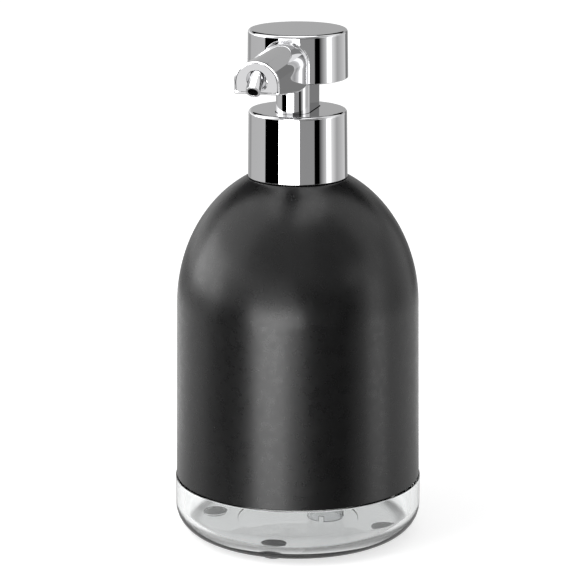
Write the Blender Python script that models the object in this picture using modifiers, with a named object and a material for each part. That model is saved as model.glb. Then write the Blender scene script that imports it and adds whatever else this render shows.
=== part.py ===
"""Foam soap dispenser with a press pump: a clear bottle under a black bell, and a chromed pump.

Metres, +Z up. The table is z = 0, the pump's axis is the Z axis, and the spout points along -Y.
Heights are stacked from the table upwards, so a change low down lifts what stands on it.
"""

import math

import bmesh
import bpy
from mathutils import Vector

# Clearances
FIT_GAP = 0.0003
THREAD_CLEARANCE = 0.00035
SLIDE_CLEARANCE = 0.00035
CUT_OVERRUN = 0.002
MERGE_DISTANCE = 0.000005

# Rubber feet, let into the clear underside
PAD_RADIUS = 0.0044
PAD_THICKNESS = 0.0013
PAD_MARGIN = 0.0127
UNDERSIDE_LIFT = 0.0005

# Clear bottle, whose foot shows as a band that stands a little proud of the bell
BAND_STEP = 0.0004
BAND_CORNER = 0.0100
BAND_TOP = 0.0211
FLOOR_THICKNESS = 0.0038
FLOOR_DISC_RADIUS = 0.0223
FLOOR_DISC_DEPTH = 0.0004
INNER_CORNER = 0.0080
BOTTLE_WALL = 0.0016
NECK_RADIUS = 0.0140
NECK_WALL = 0.0015
NECK_HEIGHT = 0.0086

# Black bell over the bottle: nearly straight sides, then a dome that is a quarter of an ellipse
COVER_RADIUS = 0.0450
COVER_WALL = 0.0011
COVER_DRAFT = 0.0008
DOME_START = 0.0863
DOME_HEIGHT = 0.0518
COVER_LAND = 0.0005

# Screw thread between the neck and the closure nut
THREAD_PITCH = 0.0030
THREAD_TURNS = 1.25
THREAD_DEPTH = 0.0009
THREAD_ROOT = 0.0011
THREAD_CREST = 0.0006
THREAD_TOP_MARGIN = 0.0008
THREAD_LEAD = 0.0009

# Gasket, closure nut and collar
GASKET_THICKNESS = 0.0010
NUT_WALL = 0.00125
NUT_WEB = 0.0012
COLLAR_WALL = 0.0012
COLLAR_TAPER = 0.0003
COLLAR_TOP = 0.0013
COLLAR_EDGE = 0.0012

# How far the press head travels, and what stops it
STROKE = 0.0110
STOP_CLEARANCE = 0.0004
HEAD_CLEARANCE = 0.0006
STEM_ENGAGEMENT = 0.0020

# Column under the press head, with its long axis along the spout
STEM_HALF_WIDTH = 0.00615
STEM_HALF_LENGTH = 0.0123
STEM_WALL = 0.0009
STEM_FLANGE = 0.0015
STEM_FLANGE_RECESS = 0.0003

# Press head
HEAD_RADIUS = 0.01805
HEAD_TAPER = 0.00025
HEAD_HEIGHT = 0.0174
HEAD_EDGE = 0.0012
HEAD_WALL = 0.0018
HEAD_ROOF = 0.0024

# Spout arm: a D section, flat below and arched above, that thins towards its tip.
# Its underside dips just outside the drum, lies level, and then rises evenly to the tip
ARM_HALF_WIDTH = 0.0080
ARM_REACH = 0.0520
ARM_DIP = 0.0007
ARM_DIP_REACH = 0.0210
ARM_LEVEL_REACH = 0.0270
ARM_ROOT_HEIGHT = 0.0146
ARM_TIP_RISE = 0.0025
ARM_TIP_HEIGHT = 0.0119
ARM_TIP_LEAN = math.radians(7)
ARM_WALL = 0.0014
ARM_RIM = 0.0006

# Nozzle
PLATE_THICKNESS = 0.0013
PLATE_CORNER = 0.0008
PLATE_HOLE_RADIUS = 0.0034
NOZZLE_HEIGHT = 0.00505
NOZZLE_RADIUS = 0.00255
NOZZLE_BORE = 0.00175
NOZZLE_TILT = math.radians(40)
NOZZLE_OUTSIDE = 0.0054
NOZZLE_INSIDE = 0.0032

# Foam core: an upright tube in the head, and a level one along the arm
CORE_RADIUS = 0.0048
CORE_ROD_BORE = 0.0035
CORE_FOAM_BORE = 0.0026
CORE_ROOF = 0.0015
CORE_ARM_RADIUS = 0.0029
CORE_ARM_BORE = 0.0021
CORE_ARM_HEIGHT = 0.0090

# Mesh ring and its two screens
MESH_RING_HEIGHT = 0.0044
MESH_RING_WALL = 0.0007
MESH_THICKNESS = 0.0003
MESH_BAR = 0.0004
MESH_BARS = 3

# Pump housing: an air cylinder above a soap cylinder
FLANGE_THICKNESS = 0.0010
AIR_WALL = 0.0011
AIR_FLOOR = 0.0012
SOAP_BORE = 0.0040
SOAP_WALL = 0.0010
VENT_RADIUS = 0.0007
VENT_HEIGHT = 0.0030

# Pistons and their rod
ROD_RADIUS = 0.0032
ROD_BORE = 0.0012
ROD_TOP_ENGAGEMENT = 0.0050
ROD_SHOULDER = 0.0044
ROD_SHOULDER_THICKNESS = 0.0010
ROD_NECK_RADIUS = 0.0024
ROD_LIP_RADIUS = 0.0030
ROD_LIP_THICKNESS = 0.0007
AIR_PISTON_LIP = 0.0006
AIR_PISTON_WEB = 0.0010
AIR_PISTON_HEIGHT = 0.0050
AIR_PISTON_DROP = 0.0052
AIR_HOLE_RADIUS = 0.0007
AIR_HOLE_CIRCLE = 0.0070
VALVE_THICKNESS = 0.0005
SEAL_HEIGHT = 0.0048
SEAL_SKIRT = 0.0004

# Return spring in the soap cylinder
SPRING_LENGTH = 0.0180
SPRING_WIRE_RADIUS = 0.0004
SPRING_TURNS = 7.0

# Balls and their seats
INLET_BALL_RADIUS = 0.00175
INLET_SEAT_BORE = 0.0013
INLET_CAGE_HEIGHT = 0.0045
OUTLET_BALL_RADIUS = 0.0013
OUTLET_CAGE_HEIGHT = 0.0040
CAGE_LIP = 0.0007

# Dip tube and strainer foot, which stands beside the axis
TUBE_RADIUS = 0.0025
TUBE_BORE = 0.0016
TUBE_SOCKET_DEPTH = 0.0080
TUBE_SOCKET_WALL = 0.0010
STRAINER_RADIUS = 0.00685
STRAINER_HEIGHT = 0.0120
STRAINER_FLOOR_GAP = 0.0005
STRAINER_X = 0.0099
STRAINER_Y = 0.00275
STRAINER_SOCKET_DEPTH = 0.0060
STRAINER_NOTCH = 0.0020
STRAINER_CUP_DEPTH = 0.0040
STRAINER_WALL = 0.0012

# Facets
BELL_STEPS = 54
DRUM_STEPS = 48
PUMP_STEPS = 28
SMALL_STEPS = 20
OUTER_DOME_STEPS = 12
INNER_DOME_STEPS = 7
CORNER_STEPS = 5
EDGE_STEPS = 3
ARCH_STEPS = 14
MESH_STEPS = 12
BALL_RINGS = 8
THREAD_STEPS_A_TURN = 20
TUBE_POINTS = 20
SPRING_POINTS_A_TURN = 10

# Radii and heights that follow from the sizes above
BAND_RADIUS = COVER_RADIUS + BAND_STEP
DOME_RADIUS = COVER_RADIUS - COVER_DRAFT
PAD_CIRCLE = BAND_RADIUS - PAD_MARGIN
COVER_BOTTOM = BAND_TOP + FIT_GAP
NUT_BORE = NECK_RADIUS + THREAD_DEPTH + THREAD_CLEARANCE
NUT_RADIUS = NUT_BORE + NUT_WALL
COLLAR_BORE = NUT_RADIUS + FIT_GAP
COLLAR_RADIUS = COLLAR_BORE + COLLAR_WALL
LAND_RADIUS = COLLAR_RADIUS + COVER_LAND
LAND_Z = DOME_START + DOME_HEIGHT * math.sqrt(1 - (LAND_RADIUS / DOME_RADIUS) ** 2)
SHOULDER_Z = LAND_Z - COVER_WALL - FIT_GAP
NECK_TOP = SHOULDER_Z + NECK_HEIGHT
COLLAR_BOTTOM = LAND_Z + FIT_GAP
NUT_BOTTOM = COLLAR_BOTTOM + FIT_GAP
GASKET_BOTTOM = NECK_TOP + FIT_GAP
FLANGE_BOTTOM = GASKET_BOTTOM + GASKET_THICKNESS + FIT_GAP
FLANGE_TOP = FLANGE_BOTTOM + FLANGE_THICKNESS
WEB_BOTTOM = FLANGE_TOP + FIT_GAP
NUT_TOP = WEB_BOTTOM + NUT_WEB
STEM_BOTTOM = NUT_TOP + STOP_CLEARANCE + STROKE
COLLAR_TOP_Z = STEM_BOTTOM + STEM_ENGAGEMENT
HEAD_BOTTOM = COLLAR_TOP_Z + STROKE + HEAD_CLEARANCE
HEAD_TOP = HEAD_BOTTOM + HEAD_HEIGHT
HEAD_BORE = HEAD_RADIUS - HEAD_TAPER - HEAD_WALL
ROOF_Z = HEAD_TOP - HEAD_ROOF
MOUTH_RADIUS = NECK_RADIUS + FIT_GAP
NECK_BORE = NECK_RADIUS - NECK_WALL
AIR_RADIUS = NECK_BORE - FIT_GAP
AIR_BORE = AIR_RADIUS - AIR_WALL
AIR_PISTON_BOTTOM = FLANGE_TOP - AIR_PISTON_DROP - AIR_PISTON_HEIGHT + AIR_PISTON_WEB + 3 * FIT_GAP
AIR_FLOOR_Z = AIR_PISTON_BOTTOM - STROKE - 3 * FIT_GAP
SOAP_TOP = AIR_FLOOR_Z - AIR_FLOOR


def clear_scene():
    for thing in list(bpy.data.objects):
        bpy.data.objects.remove(thing, do_unlink=True)


def new_collection(name):
    collection = bpy.data.collections.new(name)
    bpy.context.scene.collection.children.link(collection)
    return collection


clear_scene()
PARTS = new_collection("foam_dispenser")
CUTTERS = new_collection("cutters")


def material(name, colour, roughness, metallic=0.0, transmission=0.0):
    made = bpy.data.materials.new(name)
    made.use_nodes = True
    shader = made.node_tree.nodes["Principled BSDF"]
    shader.inputs["Base Color"].default_value = (*colour, 1.0)
    shader.inputs["Roughness"].default_value = roughness
    shader.inputs["Metallic"].default_value = metallic
    shader.inputs["Transmission Weight"].default_value = transmission
    made.diffuse_color = (*colour, 1.0)
    return made


def empty(name, z):
    made = bpy.data.objects.new(name, None)
    made.location.z = z
    PARTS.objects.link(made)
    return made


def part(made, look, group):
    """Put a finished object in the group of pieces that move together."""
    PARTS.objects.link(made)
    made.data.materials.append(look)
    made.location.z -= group.location.z
    made.parent = group
    return made


def cutter(made):
    CUTTERS.objects.link(made)
    made.hide_render = True
    made.display_type = "WIRE"
    return made


def boolean(target, tool, operation):
    modifier = target.modifiers.new(operation.lower() + "_" + tool.name, "BOOLEAN")
    modifier.object = tool
    modifier.operation = operation
    modifier.solver = "EXACT"


def cut(target, tool):
    boolean(target, cutter(tool), "DIFFERENCE")


def join(target, tool):
    boolean(target, cutter(tool), "UNION")


def object_from(name, mesh_builder, z=0.0):
    data = bpy.data.meshes.new(name)
    mesh_builder.to_mesh(data)
    mesh_builder.free()
    made = bpy.data.objects.new(name, data)
    made.location.z = z
    return made


def turned(name, profile, z, steps, closed=True):
    """Turn a profile of (radius, height) about Z. Its outer side runs from top to bottom.

    A closed profile makes a ring. An open one starts and ends on the axis.
    """
    builder = bmesh.new()
    points = [builder.verts.new((radius, 0, height)) for radius, height in profile]
    for start, end in zip(points, points[1:]):
        builder.edges.new((start, end))
    if closed:
        builder.edges.new((points[-1], points[0]))
    made = object_from(name, builder, z)
    screw = made.modifiers.new("turn", "SCREW")
    screw.angle = math.tau
    screw.steps = steps
    screw.render_steps = steps
    screw.use_merge_vertices = True
    screw.merge_threshold = MERGE_DISTANCE
    return made


def ring(name, inner, outer, z, height, steps):
    return turned(name, [(outer, height), (outer, 0), (inner, 0), (inner, height)], z, steps)


def rod(name, radius, z, height, steps):
    """A plain round bar that stands at z."""
    builder = bmesh.new()
    bmesh.ops.create_cone(
        builder, cap_ends=True, segments=steps, radius1=radius, radius2=radius, depth=height
    )
    bmesh.ops.translate(builder, verts=builder.verts, vec=(0, 0, height / 2))
    return object_from(name, builder, z)


def ball(name, radius, z):
    builder = bmesh.new()
    bmesh.ops.create_uvsphere(builder, u_segments=MESH_STEPS, v_segments=BALL_RINGS, radius=radius)
    return object_from(name, builder, z)


def loft(name, sections):
    """Join sections of equally many points into one closed solid, with flat ends."""
    builder = bmesh.new()
    rows = [[builder.verts.new(point) for point in section] for section in sections]
    count = len(rows[0])
    for row, after in zip(rows, rows[1:]):
        for k in range(count):
            other = (k + 1) % count
            builder.faces.new((row[k], row[other], after[other], after[k]))
    builder.faces.new(rows[0])
    builder.faces.new(rows[-1])
    bmesh.ops.recalc_face_normals(builder, faces=builder.faces)
    return object_from(name, builder)


def mesh_of_curve(made):
    """Swap a curve object for a closed mesh of the same name and place."""
    bpy.context.scene.collection.objects.link(made)
    bpy.context.view_layer.update()
    evaluated = made.evaluated_get(bpy.context.evaluated_depsgraph_get())
    data = bpy.data.meshes.new_from_object(evaluated)
    builder = bmesh.new()
    builder.from_mesh(data)
    bmesh.ops.remove_doubles(builder, verts=builder.verts, dist=MERGE_DISTANCE)
    bmesh.ops.recalc_face_normals(builder, faces=builder.faces)
    builder.to_mesh(data)
    builder.free()
    name = made.name
    place = made.matrix_world.copy()
    bpy.data.objects.remove(made, do_unlink=True)
    solid = bpy.data.objects.new(name, data)
    solid.matrix_world = place
    return solid


def flat_piece(name, outline, z, height):
    """A flat outline, as a 2D curve with an extrude, that stands at z."""
    curve = bpy.data.curves.new(name, "CURVE")
    curve.dimensions = "2D"
    curve.fill_mode = "BOTH"
    curve.extrude = height / 2
    spline = curve.splines.new("POLY")
    spline.points.add(len(outline) - 1)
    for point, (x, y) in zip(spline.points, outline):
        point.co = (x, y, 0, 1)
    spline.use_cyclic_u = True
    made = bpy.data.objects.new(name, curve)
    made.location.z = z + height / 2
    return mesh_of_curve(made)


def tube(name, route, radius, bevel_resolution):
    """A round bar along a route of points, with filled ends."""
    curve = bpy.data.curves.new(name, "CURVE")
    curve.dimensions = "3D"
    curve.bevel_depth = radius
    curve.bevel_resolution = bevel_resolution
    curve.use_fill_caps = True
    spline = curve.splines.new("POLY")
    spline.points.add(len(route) - 1)
    for point, place in zip(spline.points, route):
        point.co = (*place, 1)
    return mesh_of_curve(bpy.data.objects.new(name, curve))


def arc(centre_radius, centre_z, size, first, last, steps):
    """Points of an arc in a profile. Angles are in degrees, from +X towards +Z."""
    points = []
    for k in range(steps + 1):
        angle = math.radians(first + (last - first) * k / steps)
        points.append((centre_radius + size * math.cos(angle), centre_z + size * math.sin(angle)))
    return points


def dome_arc(radius, height, top, steps):
    """Points of the bell's ellipse, from the height of top down to where the dome starts."""
    first = math.asin((top - DOME_START) / height)
    points = []
    for k in range(steps + 1):
        angle = first * (1 - k / steps)
        points.append((radius * math.cos(angle), DOME_START + height * math.sin(angle)))
    return points


def obround(half_length, half_width):
    """Outline of a slot with round ends. Its long axis lies along Y."""
    straight = half_length - half_width
    steps = ARCH_STEPS
    front = [math.pi + math.pi * k / steps for k in range(steps + 1)]
    back = [math.pi * k / steps for k in range(steps + 1)]
    points = [(half_width * math.cos(a), -straight + half_width * math.sin(a)) for a in front]
    points += [(half_width * math.cos(a), straight + half_width * math.sin(a)) for a in back]
    return points


def helical_ridge(name, root, crest, start_z, phase):
    """The ridge of a right-handed thread. Root and crest are radii, and phase is its first angle."""
    steps = round(THREAD_TURNS * THREAD_STEPS_A_TURN)
    sections = []
    for k in range(steps + 1):
        turn = THREAD_TURNS * k / steps
        angle = phase + math.tau * turn
        z = start_z + THREAD_PITCH * turn
        shape = [
            (root, z - THREAD_ROOT / 2),
            (root, z + THREAD_ROOT / 2),
            (crest, z + THREAD_CREST / 2),
            (crest, z - THREAD_CREST / 2),
        ]
        sections.append([(r * math.cos(angle), r * math.sin(angle), height) for r, height in shape])
    return loft(name, sections)


# Where the two threads run: the nut's ridge lies half a pitch from the neck's
NECK_THREAD_START = NECK_TOP - THREAD_TOP_MARGIN - THREAD_ROOT / 2 - THREAD_PITCH * THREAD_TURNS
NUT_THREAD_START = NECK_THREAD_START - THREAD_LEAD
NUT_THREAD_PHASE = math.tau * (NUT_THREAD_START - NECK_THREAD_START - THREAD_PITCH / 2) / THREAD_PITCH

# Colours and finishes
CLEAR = material("clear_acrylic", (0.93, 0.95, 0.95), 0.02, transmission=1.0)
BLACK = material("matt_black", (0.016, 0.016, 0.017), 0.42)
CHROME = material("chrome", (0.80, 0.80, 0.81), 0.05, metallic=1.0)
RUBBER = material("grey_rubber", (0.16, 0.16, 0.17), 0.70)
FROSTED = material("frosted_plastic", (0.62, 0.64, 0.66), 0.35, transmission=0.4)
WHITE = material("white_plastic", (0.75, 0.75, 0.74), 0.40)
STEEL = material("spring_steel", (0.55, 0.55, 0.56), 0.25, metallic=1.0)
SOFT = material("soft_seal", (0.70, 0.72, 0.74), 0.60)

# What moves together. Each empty lies on the axis that its pieces turn about or slide along
BOTTLE = empty("bottle_group", 0.0)
SEAL_GROUP = empty("gasket_group", GASKET_BOTTOM)
PUMP = empty("pump_group", FLANGE_BOTTOM)
PRESS = empty("press_group", HEAD_BOTTOM)


def bottle_inside(wall):
    """Profile points of the bottle's inner side, from the floor's middle up to the mouth."""
    floor_z = UNDERSIDE_LIFT + FLOOR_THICKNESS
    low_radius = COVER_RADIUS - wall
    points = [(0, floor_z - FLOOR_DISC_DEPTH), (FLOOR_DISC_RADIUS, floor_z - FLOOR_DISC_DEPTH)]
    points.append((FLOOR_DISC_RADIUS + FLOOR_DISC_DEPTH, floor_z))
    points += arc(low_radius - INNER_CORNER, floor_z + INNER_CORNER, INNER_CORNER, -90, 0, CORNER_STEPS)
    dome = dome_arc(DOME_RADIUS - wall, DOME_HEIGHT - wall, LAND_Z - wall, INNER_DOME_STEPS)
    points += dome[::-1]
    points.append((MOUTH_RADIUS, LAND_Z - wall))
    return points


def inner_bottle():
    cover = COVER_WALL + FIT_GAP
    profile = bottle_inside(cover + BOTTLE_WALL)
    profile.append((MOUTH_RADIUS, SHOULDER_Z))
    profile += dome_arc(DOME_RADIUS - cover, DOME_HEIGHT - cover, SHOULDER_Z, INNER_DOME_STEPS)
    profile += [(COVER_RADIUS - cover, BAND_TOP), (BAND_RADIUS, BAND_TOP)]
    corner_z = UNDERSIDE_LIFT + BAND_CORNER
    profile += arc(BAND_RADIUS - BAND_CORNER, corner_z, BAND_CORNER, 0, -90, CORNER_STEPS)
    profile.append((0, UNDERSIDE_LIFT))
    made = turned("inner_bottle", profile, 0, BELL_STEPS, closed=False)
    pocket_height = CUT_OVERRUN + PAD_THICKNESS + FIT_GAP
    for name, x, y in pad_places():
        pocket = rod(name + "_pocket", PAD_RADIUS + FIT_GAP, -CUT_OVERRUN, pocket_height, SMALL_STEPS)
        pocket.location.x = x
        pocket.location.y = y
        cut(made, pocket)
    return part(made, CLEAR, BOTTLE)


def bottle_neck():
    """Threaded tube glued into the bottle's mouth, flush with the wall's inner side."""
    bottom = SHOULDER_Z - BOTTLE_WALL
    made = ring("bottle_neck", NECK_BORE, NECK_RADIUS, bottom, NECK_TOP - bottom, BELL_STEPS)
    ridge = helical_ridge(
        "neck_ridge", NECK_RADIUS - NECK_WALL / 3, NECK_RADIUS + THREAD_DEPTH, NECK_THREAD_START, 0
    )
    join(made, ridge)
    return part(made, CLEAR, BOTTLE)


def pad_places():
    """The four pads lie in line with the spout and square to it."""
    sides = (("front", 0, -1), ("back", 0, 1), ("left", -1, 0), ("right", 1, 0))
    return [("foot_pad_" + side, PAD_CIRCLE * x, PAD_CIRCLE * y) for side, x, y in sides]


def foot_pads():
    for name, x, y in pad_places():
        made = rod(name, PAD_RADIUS, 0, PAD_THICKNESS, SMALL_STEPS)
        made.location.x = x
        made.location.y = y
        part(made, RUBBER, BOTTLE)


def outer_cover():
    hole = NECK_RADIUS + THREAD_DEPTH + 2 * FIT_GAP
    profile = [(hole, LAND_Z)]
    profile += dome_arc(DOME_RADIUS, DOME_HEIGHT, LAND_Z, OUTER_DOME_STEPS)
    profile += [(COVER_RADIUS, COVER_BOTTOM), (COVER_RADIUS - COVER_WALL, COVER_BOTTOM)]
    inside = dome_arc(
        DOME_RADIUS - COVER_WALL, DOME_HEIGHT - COVER_WALL, LAND_Z - COVER_WALL, INNER_DOME_STEPS
    )
    profile += inside[::-1]
    profile.append((hole, LAND_Z - COVER_WALL))
    return part(turned("outer_cover", profile, 0, BELL_STEPS), BLACK, BOTTLE)


def neck_gasket():
    made = ring(
        "neck_gasket", NECK_BORE, NUT_BORE - THREAD_CLEARANCE, GASKET_BOTTOM, GASKET_THICKNESS, PUMP_STEPS
    )
    return part(made, SOFT, SEAL_GROUP)


def closure_nut():
    hole = CORE_RADIUS + SLIDE_CLEARANCE + FIT_GAP
    height = NUT_TOP - NUT_BOTTOM
    skirt = height - NUT_WEB
    profile = [(hole, height), (NUT_RADIUS, height), (NUT_RADIUS, 0), (NUT_BORE, 0)]
    profile += [(NUT_BORE, skirt), (hole, skirt)]
    made = turned("closure_nut", profile, NUT_BOTTOM, PUMP_STEPS)
    ridge = helical_ridge(
        "nut_ridge", NUT_BORE + NUT_WALL / 3, NUT_BORE - THREAD_DEPTH, NUT_THREAD_START, NUT_THREAD_PHASE
    )
    join(made, ridge)
    return part(made, WHITE, PUMP)


def collar():
    height = COLLAR_TOP_Z - COLLAR_BOTTOM
    top_radius = COLLAR_RADIUS - COLLAR_TAPER
    profile = [(0, height)]
    profile += arc(top_radius - COLLAR_EDGE, height - COLLAR_EDGE, COLLAR_EDGE, 90, 0, EDGE_STEPS)
    profile += [(COLLAR_RADIUS, 0), (COLLAR_BORE, 0), (COLLAR_BORE, height - COLLAR_TOP)]
    profile.append((0, height - COLLAR_TOP))
    made = turned("collar", profile, COLLAR_BOTTOM, DRUM_STEPS, closed=False)
    outline = obround(STEM_HALF_LENGTH + SLIDE_CLEARANCE, STEM_HALF_WIDTH + SLIDE_CLEARANCE)
    slot_bottom = COLLAR_TOP_Z - COLLAR_TOP - CUT_OVERRUN
    cut(made, flat_piece("collar_slot", outline, slot_bottom, COLLAR_TOP + 2 * CUT_OVERRUN))
    return part(made, CHROME, PUMP)


# Heights inside the pump, from the pistons down to the tube's socket
CORE_BOTTOM = AIR_PISTON_BOTTOM + AIR_PISTON_HEIGHT + FIT_GAP
ROD_TOP = CORE_BOTTOM + ROD_TOP_ENGAGEMENT
ROD_SHOULDER_TOP = AIR_PISTON_BOTTOM + AIR_PISTON_HEIGHT - AIR_PISTON_WEB - VALVE_THICKNESS - 2 * FIT_GAP
SEAL_BOTTOM = SOAP_TOP - SEAL_HEIGHT + FIT_GAP
ROD_BOTTOM = SEAL_BOTTOM - FIT_GAP - ROD_LIP_THICKNESS
SPRING_TOP = ROD_BOTTOM - FIT_GAP
SPRING_BOTTOM = SPRING_TOP - SPRING_LENGTH
LEDGE_Z = SPRING_BOTTOM - FIT_GAP
INLET_SEAT_Z = LEDGE_Z - CAGE_LIP - INLET_CAGE_HEIGHT
INLET_CAGE_BORE = INLET_BALL_RADIUS + SLIDE_CLEARANCE
SOCKET_TOP = INLET_SEAT_Z - TUBE_SOCKET_WALL
SOCKET_BORE = TUBE_RADIUS + FIT_GAP
SOCKET_BOTTOM = SOCKET_TOP - TUBE_SOCKET_DEPTH


def seat_rise(radius, bore):
    """Height of a ball's middle over the rim of the hole that it rests on."""
    return math.sqrt(radius**2 - bore**2)


def pump_housing():
    def local(z):
        return z - SOCKET_BOTTOM

    soap_radius = SOAP_BORE + SOAP_WALL
    flange = NUT_BORE - THREAD_CLEARANCE
    profile = [
        (AIR_BORE, local(FLANGE_TOP)),
        (flange, local(FLANGE_TOP)),
        (flange, local(FLANGE_BOTTOM)),
        (AIR_RADIUS, local(FLANGE_BOTTOM)),
        (AIR_RADIUS, local(SOAP_TOP)),
        (soap_radius, local(SOAP_TOP)),
        (soap_radius, local(LEDGE_Z)),
        (SOCKET_BORE + TUBE_SOCKET_WALL, local(INLET_SEAT_Z)),
        (SOCKET_BORE + TUBE_SOCKET_WALL, 0),
        (SOCKET_BORE, 0),
        (SOCKET_BORE, local(SOCKET_TOP)),
        (INLET_SEAT_BORE, local(SOCKET_TOP)),
        (INLET_SEAT_BORE, local(INLET_SEAT_Z)),
        (INLET_CAGE_BORE, local(INLET_SEAT_Z)),
        (INLET_CAGE_BORE, local(LEDGE_Z - CAGE_LIP)),
        (INLET_BALL_RADIUS - SLIDE_CLEARANCE, local(LEDGE_Z - CAGE_LIP)),
        (INLET_BALL_RADIUS - SLIDE_CLEARANCE, local(LEDGE_Z)),
        (SOAP_BORE, local(LEDGE_Z)),
        (SOAP_BORE, local(AIR_FLOOR_Z)),
        (AIR_BORE, local(AIR_FLOOR_Z)),
    ]
    made = turned("pump_housing", profile, SOCKET_BOTTOM, PUMP_STEPS)
    vent = rod("vent_drill", VENT_RADIUS, 0, AIR_WALL + 2 * CUT_OVERRUN, SMALL_STEPS)
    vent.rotation_euler.y = math.radians(90)
    vent.location = (AIR_BORE - CUT_OVERRUN, 0, AIR_FLOOR_Z + VENT_HEIGHT)
    cut(made, vent)
    return part(made, WHITE, PUMP)


def inlet_ball():
    rise = seat_rise(INLET_BALL_RADIUS, INLET_SEAT_BORE) + FIT_GAP
    return part(ball("inlet_ball", INLET_BALL_RADIUS, INLET_SEAT_Z + rise), STEEL, PUMP)


FLOOR_DISC_Z = UNDERSIDE_LIFT + FLOOR_THICKNESS - FLOOR_DISC_DEPTH
STRAINER_BOTTOM = FLOOR_DISC_Z + STRAINER_FLOOR_GAP
TUBE_BOTTOM = STRAINER_BOTTOM + STRAINER_HEIGHT - STRAINER_SOCKET_DEPTH + FIT_GAP
TUBE_TOP = SOCKET_TOP - FIT_GAP


def tube_route(overrun):
    """From the housing's socket straight down, then in a slow S to the strainer, with upright ends."""
    straight = TUBE_SOCKET_DEPTH + TUBE_RADIUS
    curve_top = TUBE_TOP - straight
    curve_bottom = TUBE_BOTTOM + STRAINER_SOCKET_DEPTH + TUBE_RADIUS
    points = [(0, 0, TUBE_TOP + overrun)]
    for k in range(TUBE_POINTS + 1):
        share = k / TUBE_POINTS
        shift = share * share * (3 - 2 * share)
        z = curve_top + (curve_bottom - curve_top) * share
        points.append((STRAINER_X * shift, STRAINER_Y * shift, z))
    points.append((STRAINER_X, STRAINER_Y, TUBE_BOTTOM - overrun))
    return points


def dip_tube():
    made = tube("dip_tube", tube_route(0), TUBE_RADIUS, 3)
    cut(made, tube("dip_tube_bore", tube_route(CUT_OVERRUN), TUBE_BORE, 2))
    return part(made, FROSTED, PUMP)


def strainer_foot():
    socket = TUBE_RADIUS + FIT_GAP
    cup_radius = STRAINER_RADIUS - STRAINER_WALL
    profile = [
        (socket, STRAINER_HEIGHT),
        (STRAINER_RADIUS, STRAINER_HEIGHT),
        (STRAINER_RADIUS, 0),
        (cup_radius, 0),
        (cup_radius, STRAINER_CUP_DEPTH),
        (TUBE_BORE, STRAINER_CUP_DEPTH),
        (TUBE_BORE, STRAINER_HEIGHT - STRAINER_SOCKET_DEPTH),
        (socket, STRAINER_HEIGHT - STRAINER_SOCKET_DEPTH),
    ]
    made = turned("strainer_foot", profile, STRAINER_BOTTOM, PUMP_STEPS)
    made.location.x = STRAINER_X
    made.location.y = STRAINER_Y
    for name, angle in (("notch_a", 0), ("notch_b", math.pi / 2)):
        builder = bmesh.new()
        bmesh.ops.create_cube(builder, size=1)
        length = 2 * (STRAINER_RADIUS + CUT_OVERRUN)
        bmesh.ops.scale(builder, verts=builder.verts, vec=(length, STRAINER_NOTCH, 2 * STRAINER_NOTCH))
        notch = object_from(name, builder, STRAINER_BOTTOM)
        notch.location.x = STRAINER_X
        notch.location.y = STRAINER_Y
        notch.rotation_euler.z = angle
        cut(made, notch)
    return part(made, FROSTED, PUMP)


def arm_bottom(reach):
    """Underside of the spout arm over the head's bottom."""
    dip_share = (reach - HEAD_RADIUS) / (ARM_DIP_REACH - HEAD_RADIUS)
    rise_share = (reach - ARM_LEVEL_REACH) / (ARM_REACH - ARM_LEVEL_REACH)
    dip = ARM_DIP * min(max(dip_share, 0.0), 1.0)
    return (ARM_TIP_RISE + ARM_DIP) * max(rise_share, 0.0) - dip


def arm_top(reach):
    tip_top = ARM_TIP_RISE + ARM_TIP_HEIGHT
    share = (reach - HEAD_RADIUS) / (ARM_REACH - HEAD_RADIUS)
    return ARM_ROOT_HEIGHT + (tip_top - ARM_ROOT_HEIGHT) * share


def arm_section(reach, inset, corner, lean):
    """A D section of the arm at a distance from the axis, drawn in by inset, in world places."""
    half = ARM_HALF_WIDTH - inset
    low = HEAD_BOTTOM + arm_bottom(reach) + inset
    spring_line = HEAD_BOTTOM + arm_top(reach) - ARM_HALF_WIDTH
    outline = []
    for k in range(EDGE_STEPS + 1):
        angle = math.radians(270 - 90 * k / EDGE_STEPS)
        outline.append((-half + corner + corner * math.cos(angle), low + corner + corner * math.sin(angle)))
    for k in range(ARCH_STEPS + 1):
        angle = math.pi * (1 - k / ARCH_STEPS)
        outline.append((half * math.cos(angle), spring_line + half * math.sin(angle)))
    for k in range(EDGE_STEPS + 1):
        angle = math.radians(-90 * k / EDGE_STEPS)
        outline.append((half - corner + corner * math.cos(angle), low + corner + corner * math.sin(angle)))
    datum = HEAD_BOTTOM + ARM_TIP_RISE
    return [(x, -reach - (z - datum) * math.tan(lean), z) for x, z in outline]


def arm_loft(name, inset, first, last, upright_first=True):
    """A loft along the arm between two reaches. It starts upright or leaning, and ends as the tip leans."""
    reaches = [first]
    if upright_first:
        reaches += [HEAD_RADIUS, ARM_DIP_REACH, ARM_LEVEL_REACH]
    reaches.append(last)
    sections = []
    for k, reach in enumerate(reaches):
        upright = upright_first and k < len(reaches) - 1
        sections.append(arm_section(reach, inset, PLATE_CORNER, 0 if upright else ARM_TIP_LEAN))
    return loft(name, sections)


ARM_ROOT_INSIDE = HEAD_RADIUS - HEAD_WALL - CUT_OVERRUN
SEAT_DEPTH = PLATE_THICKNESS + FIT_GAP


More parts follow.
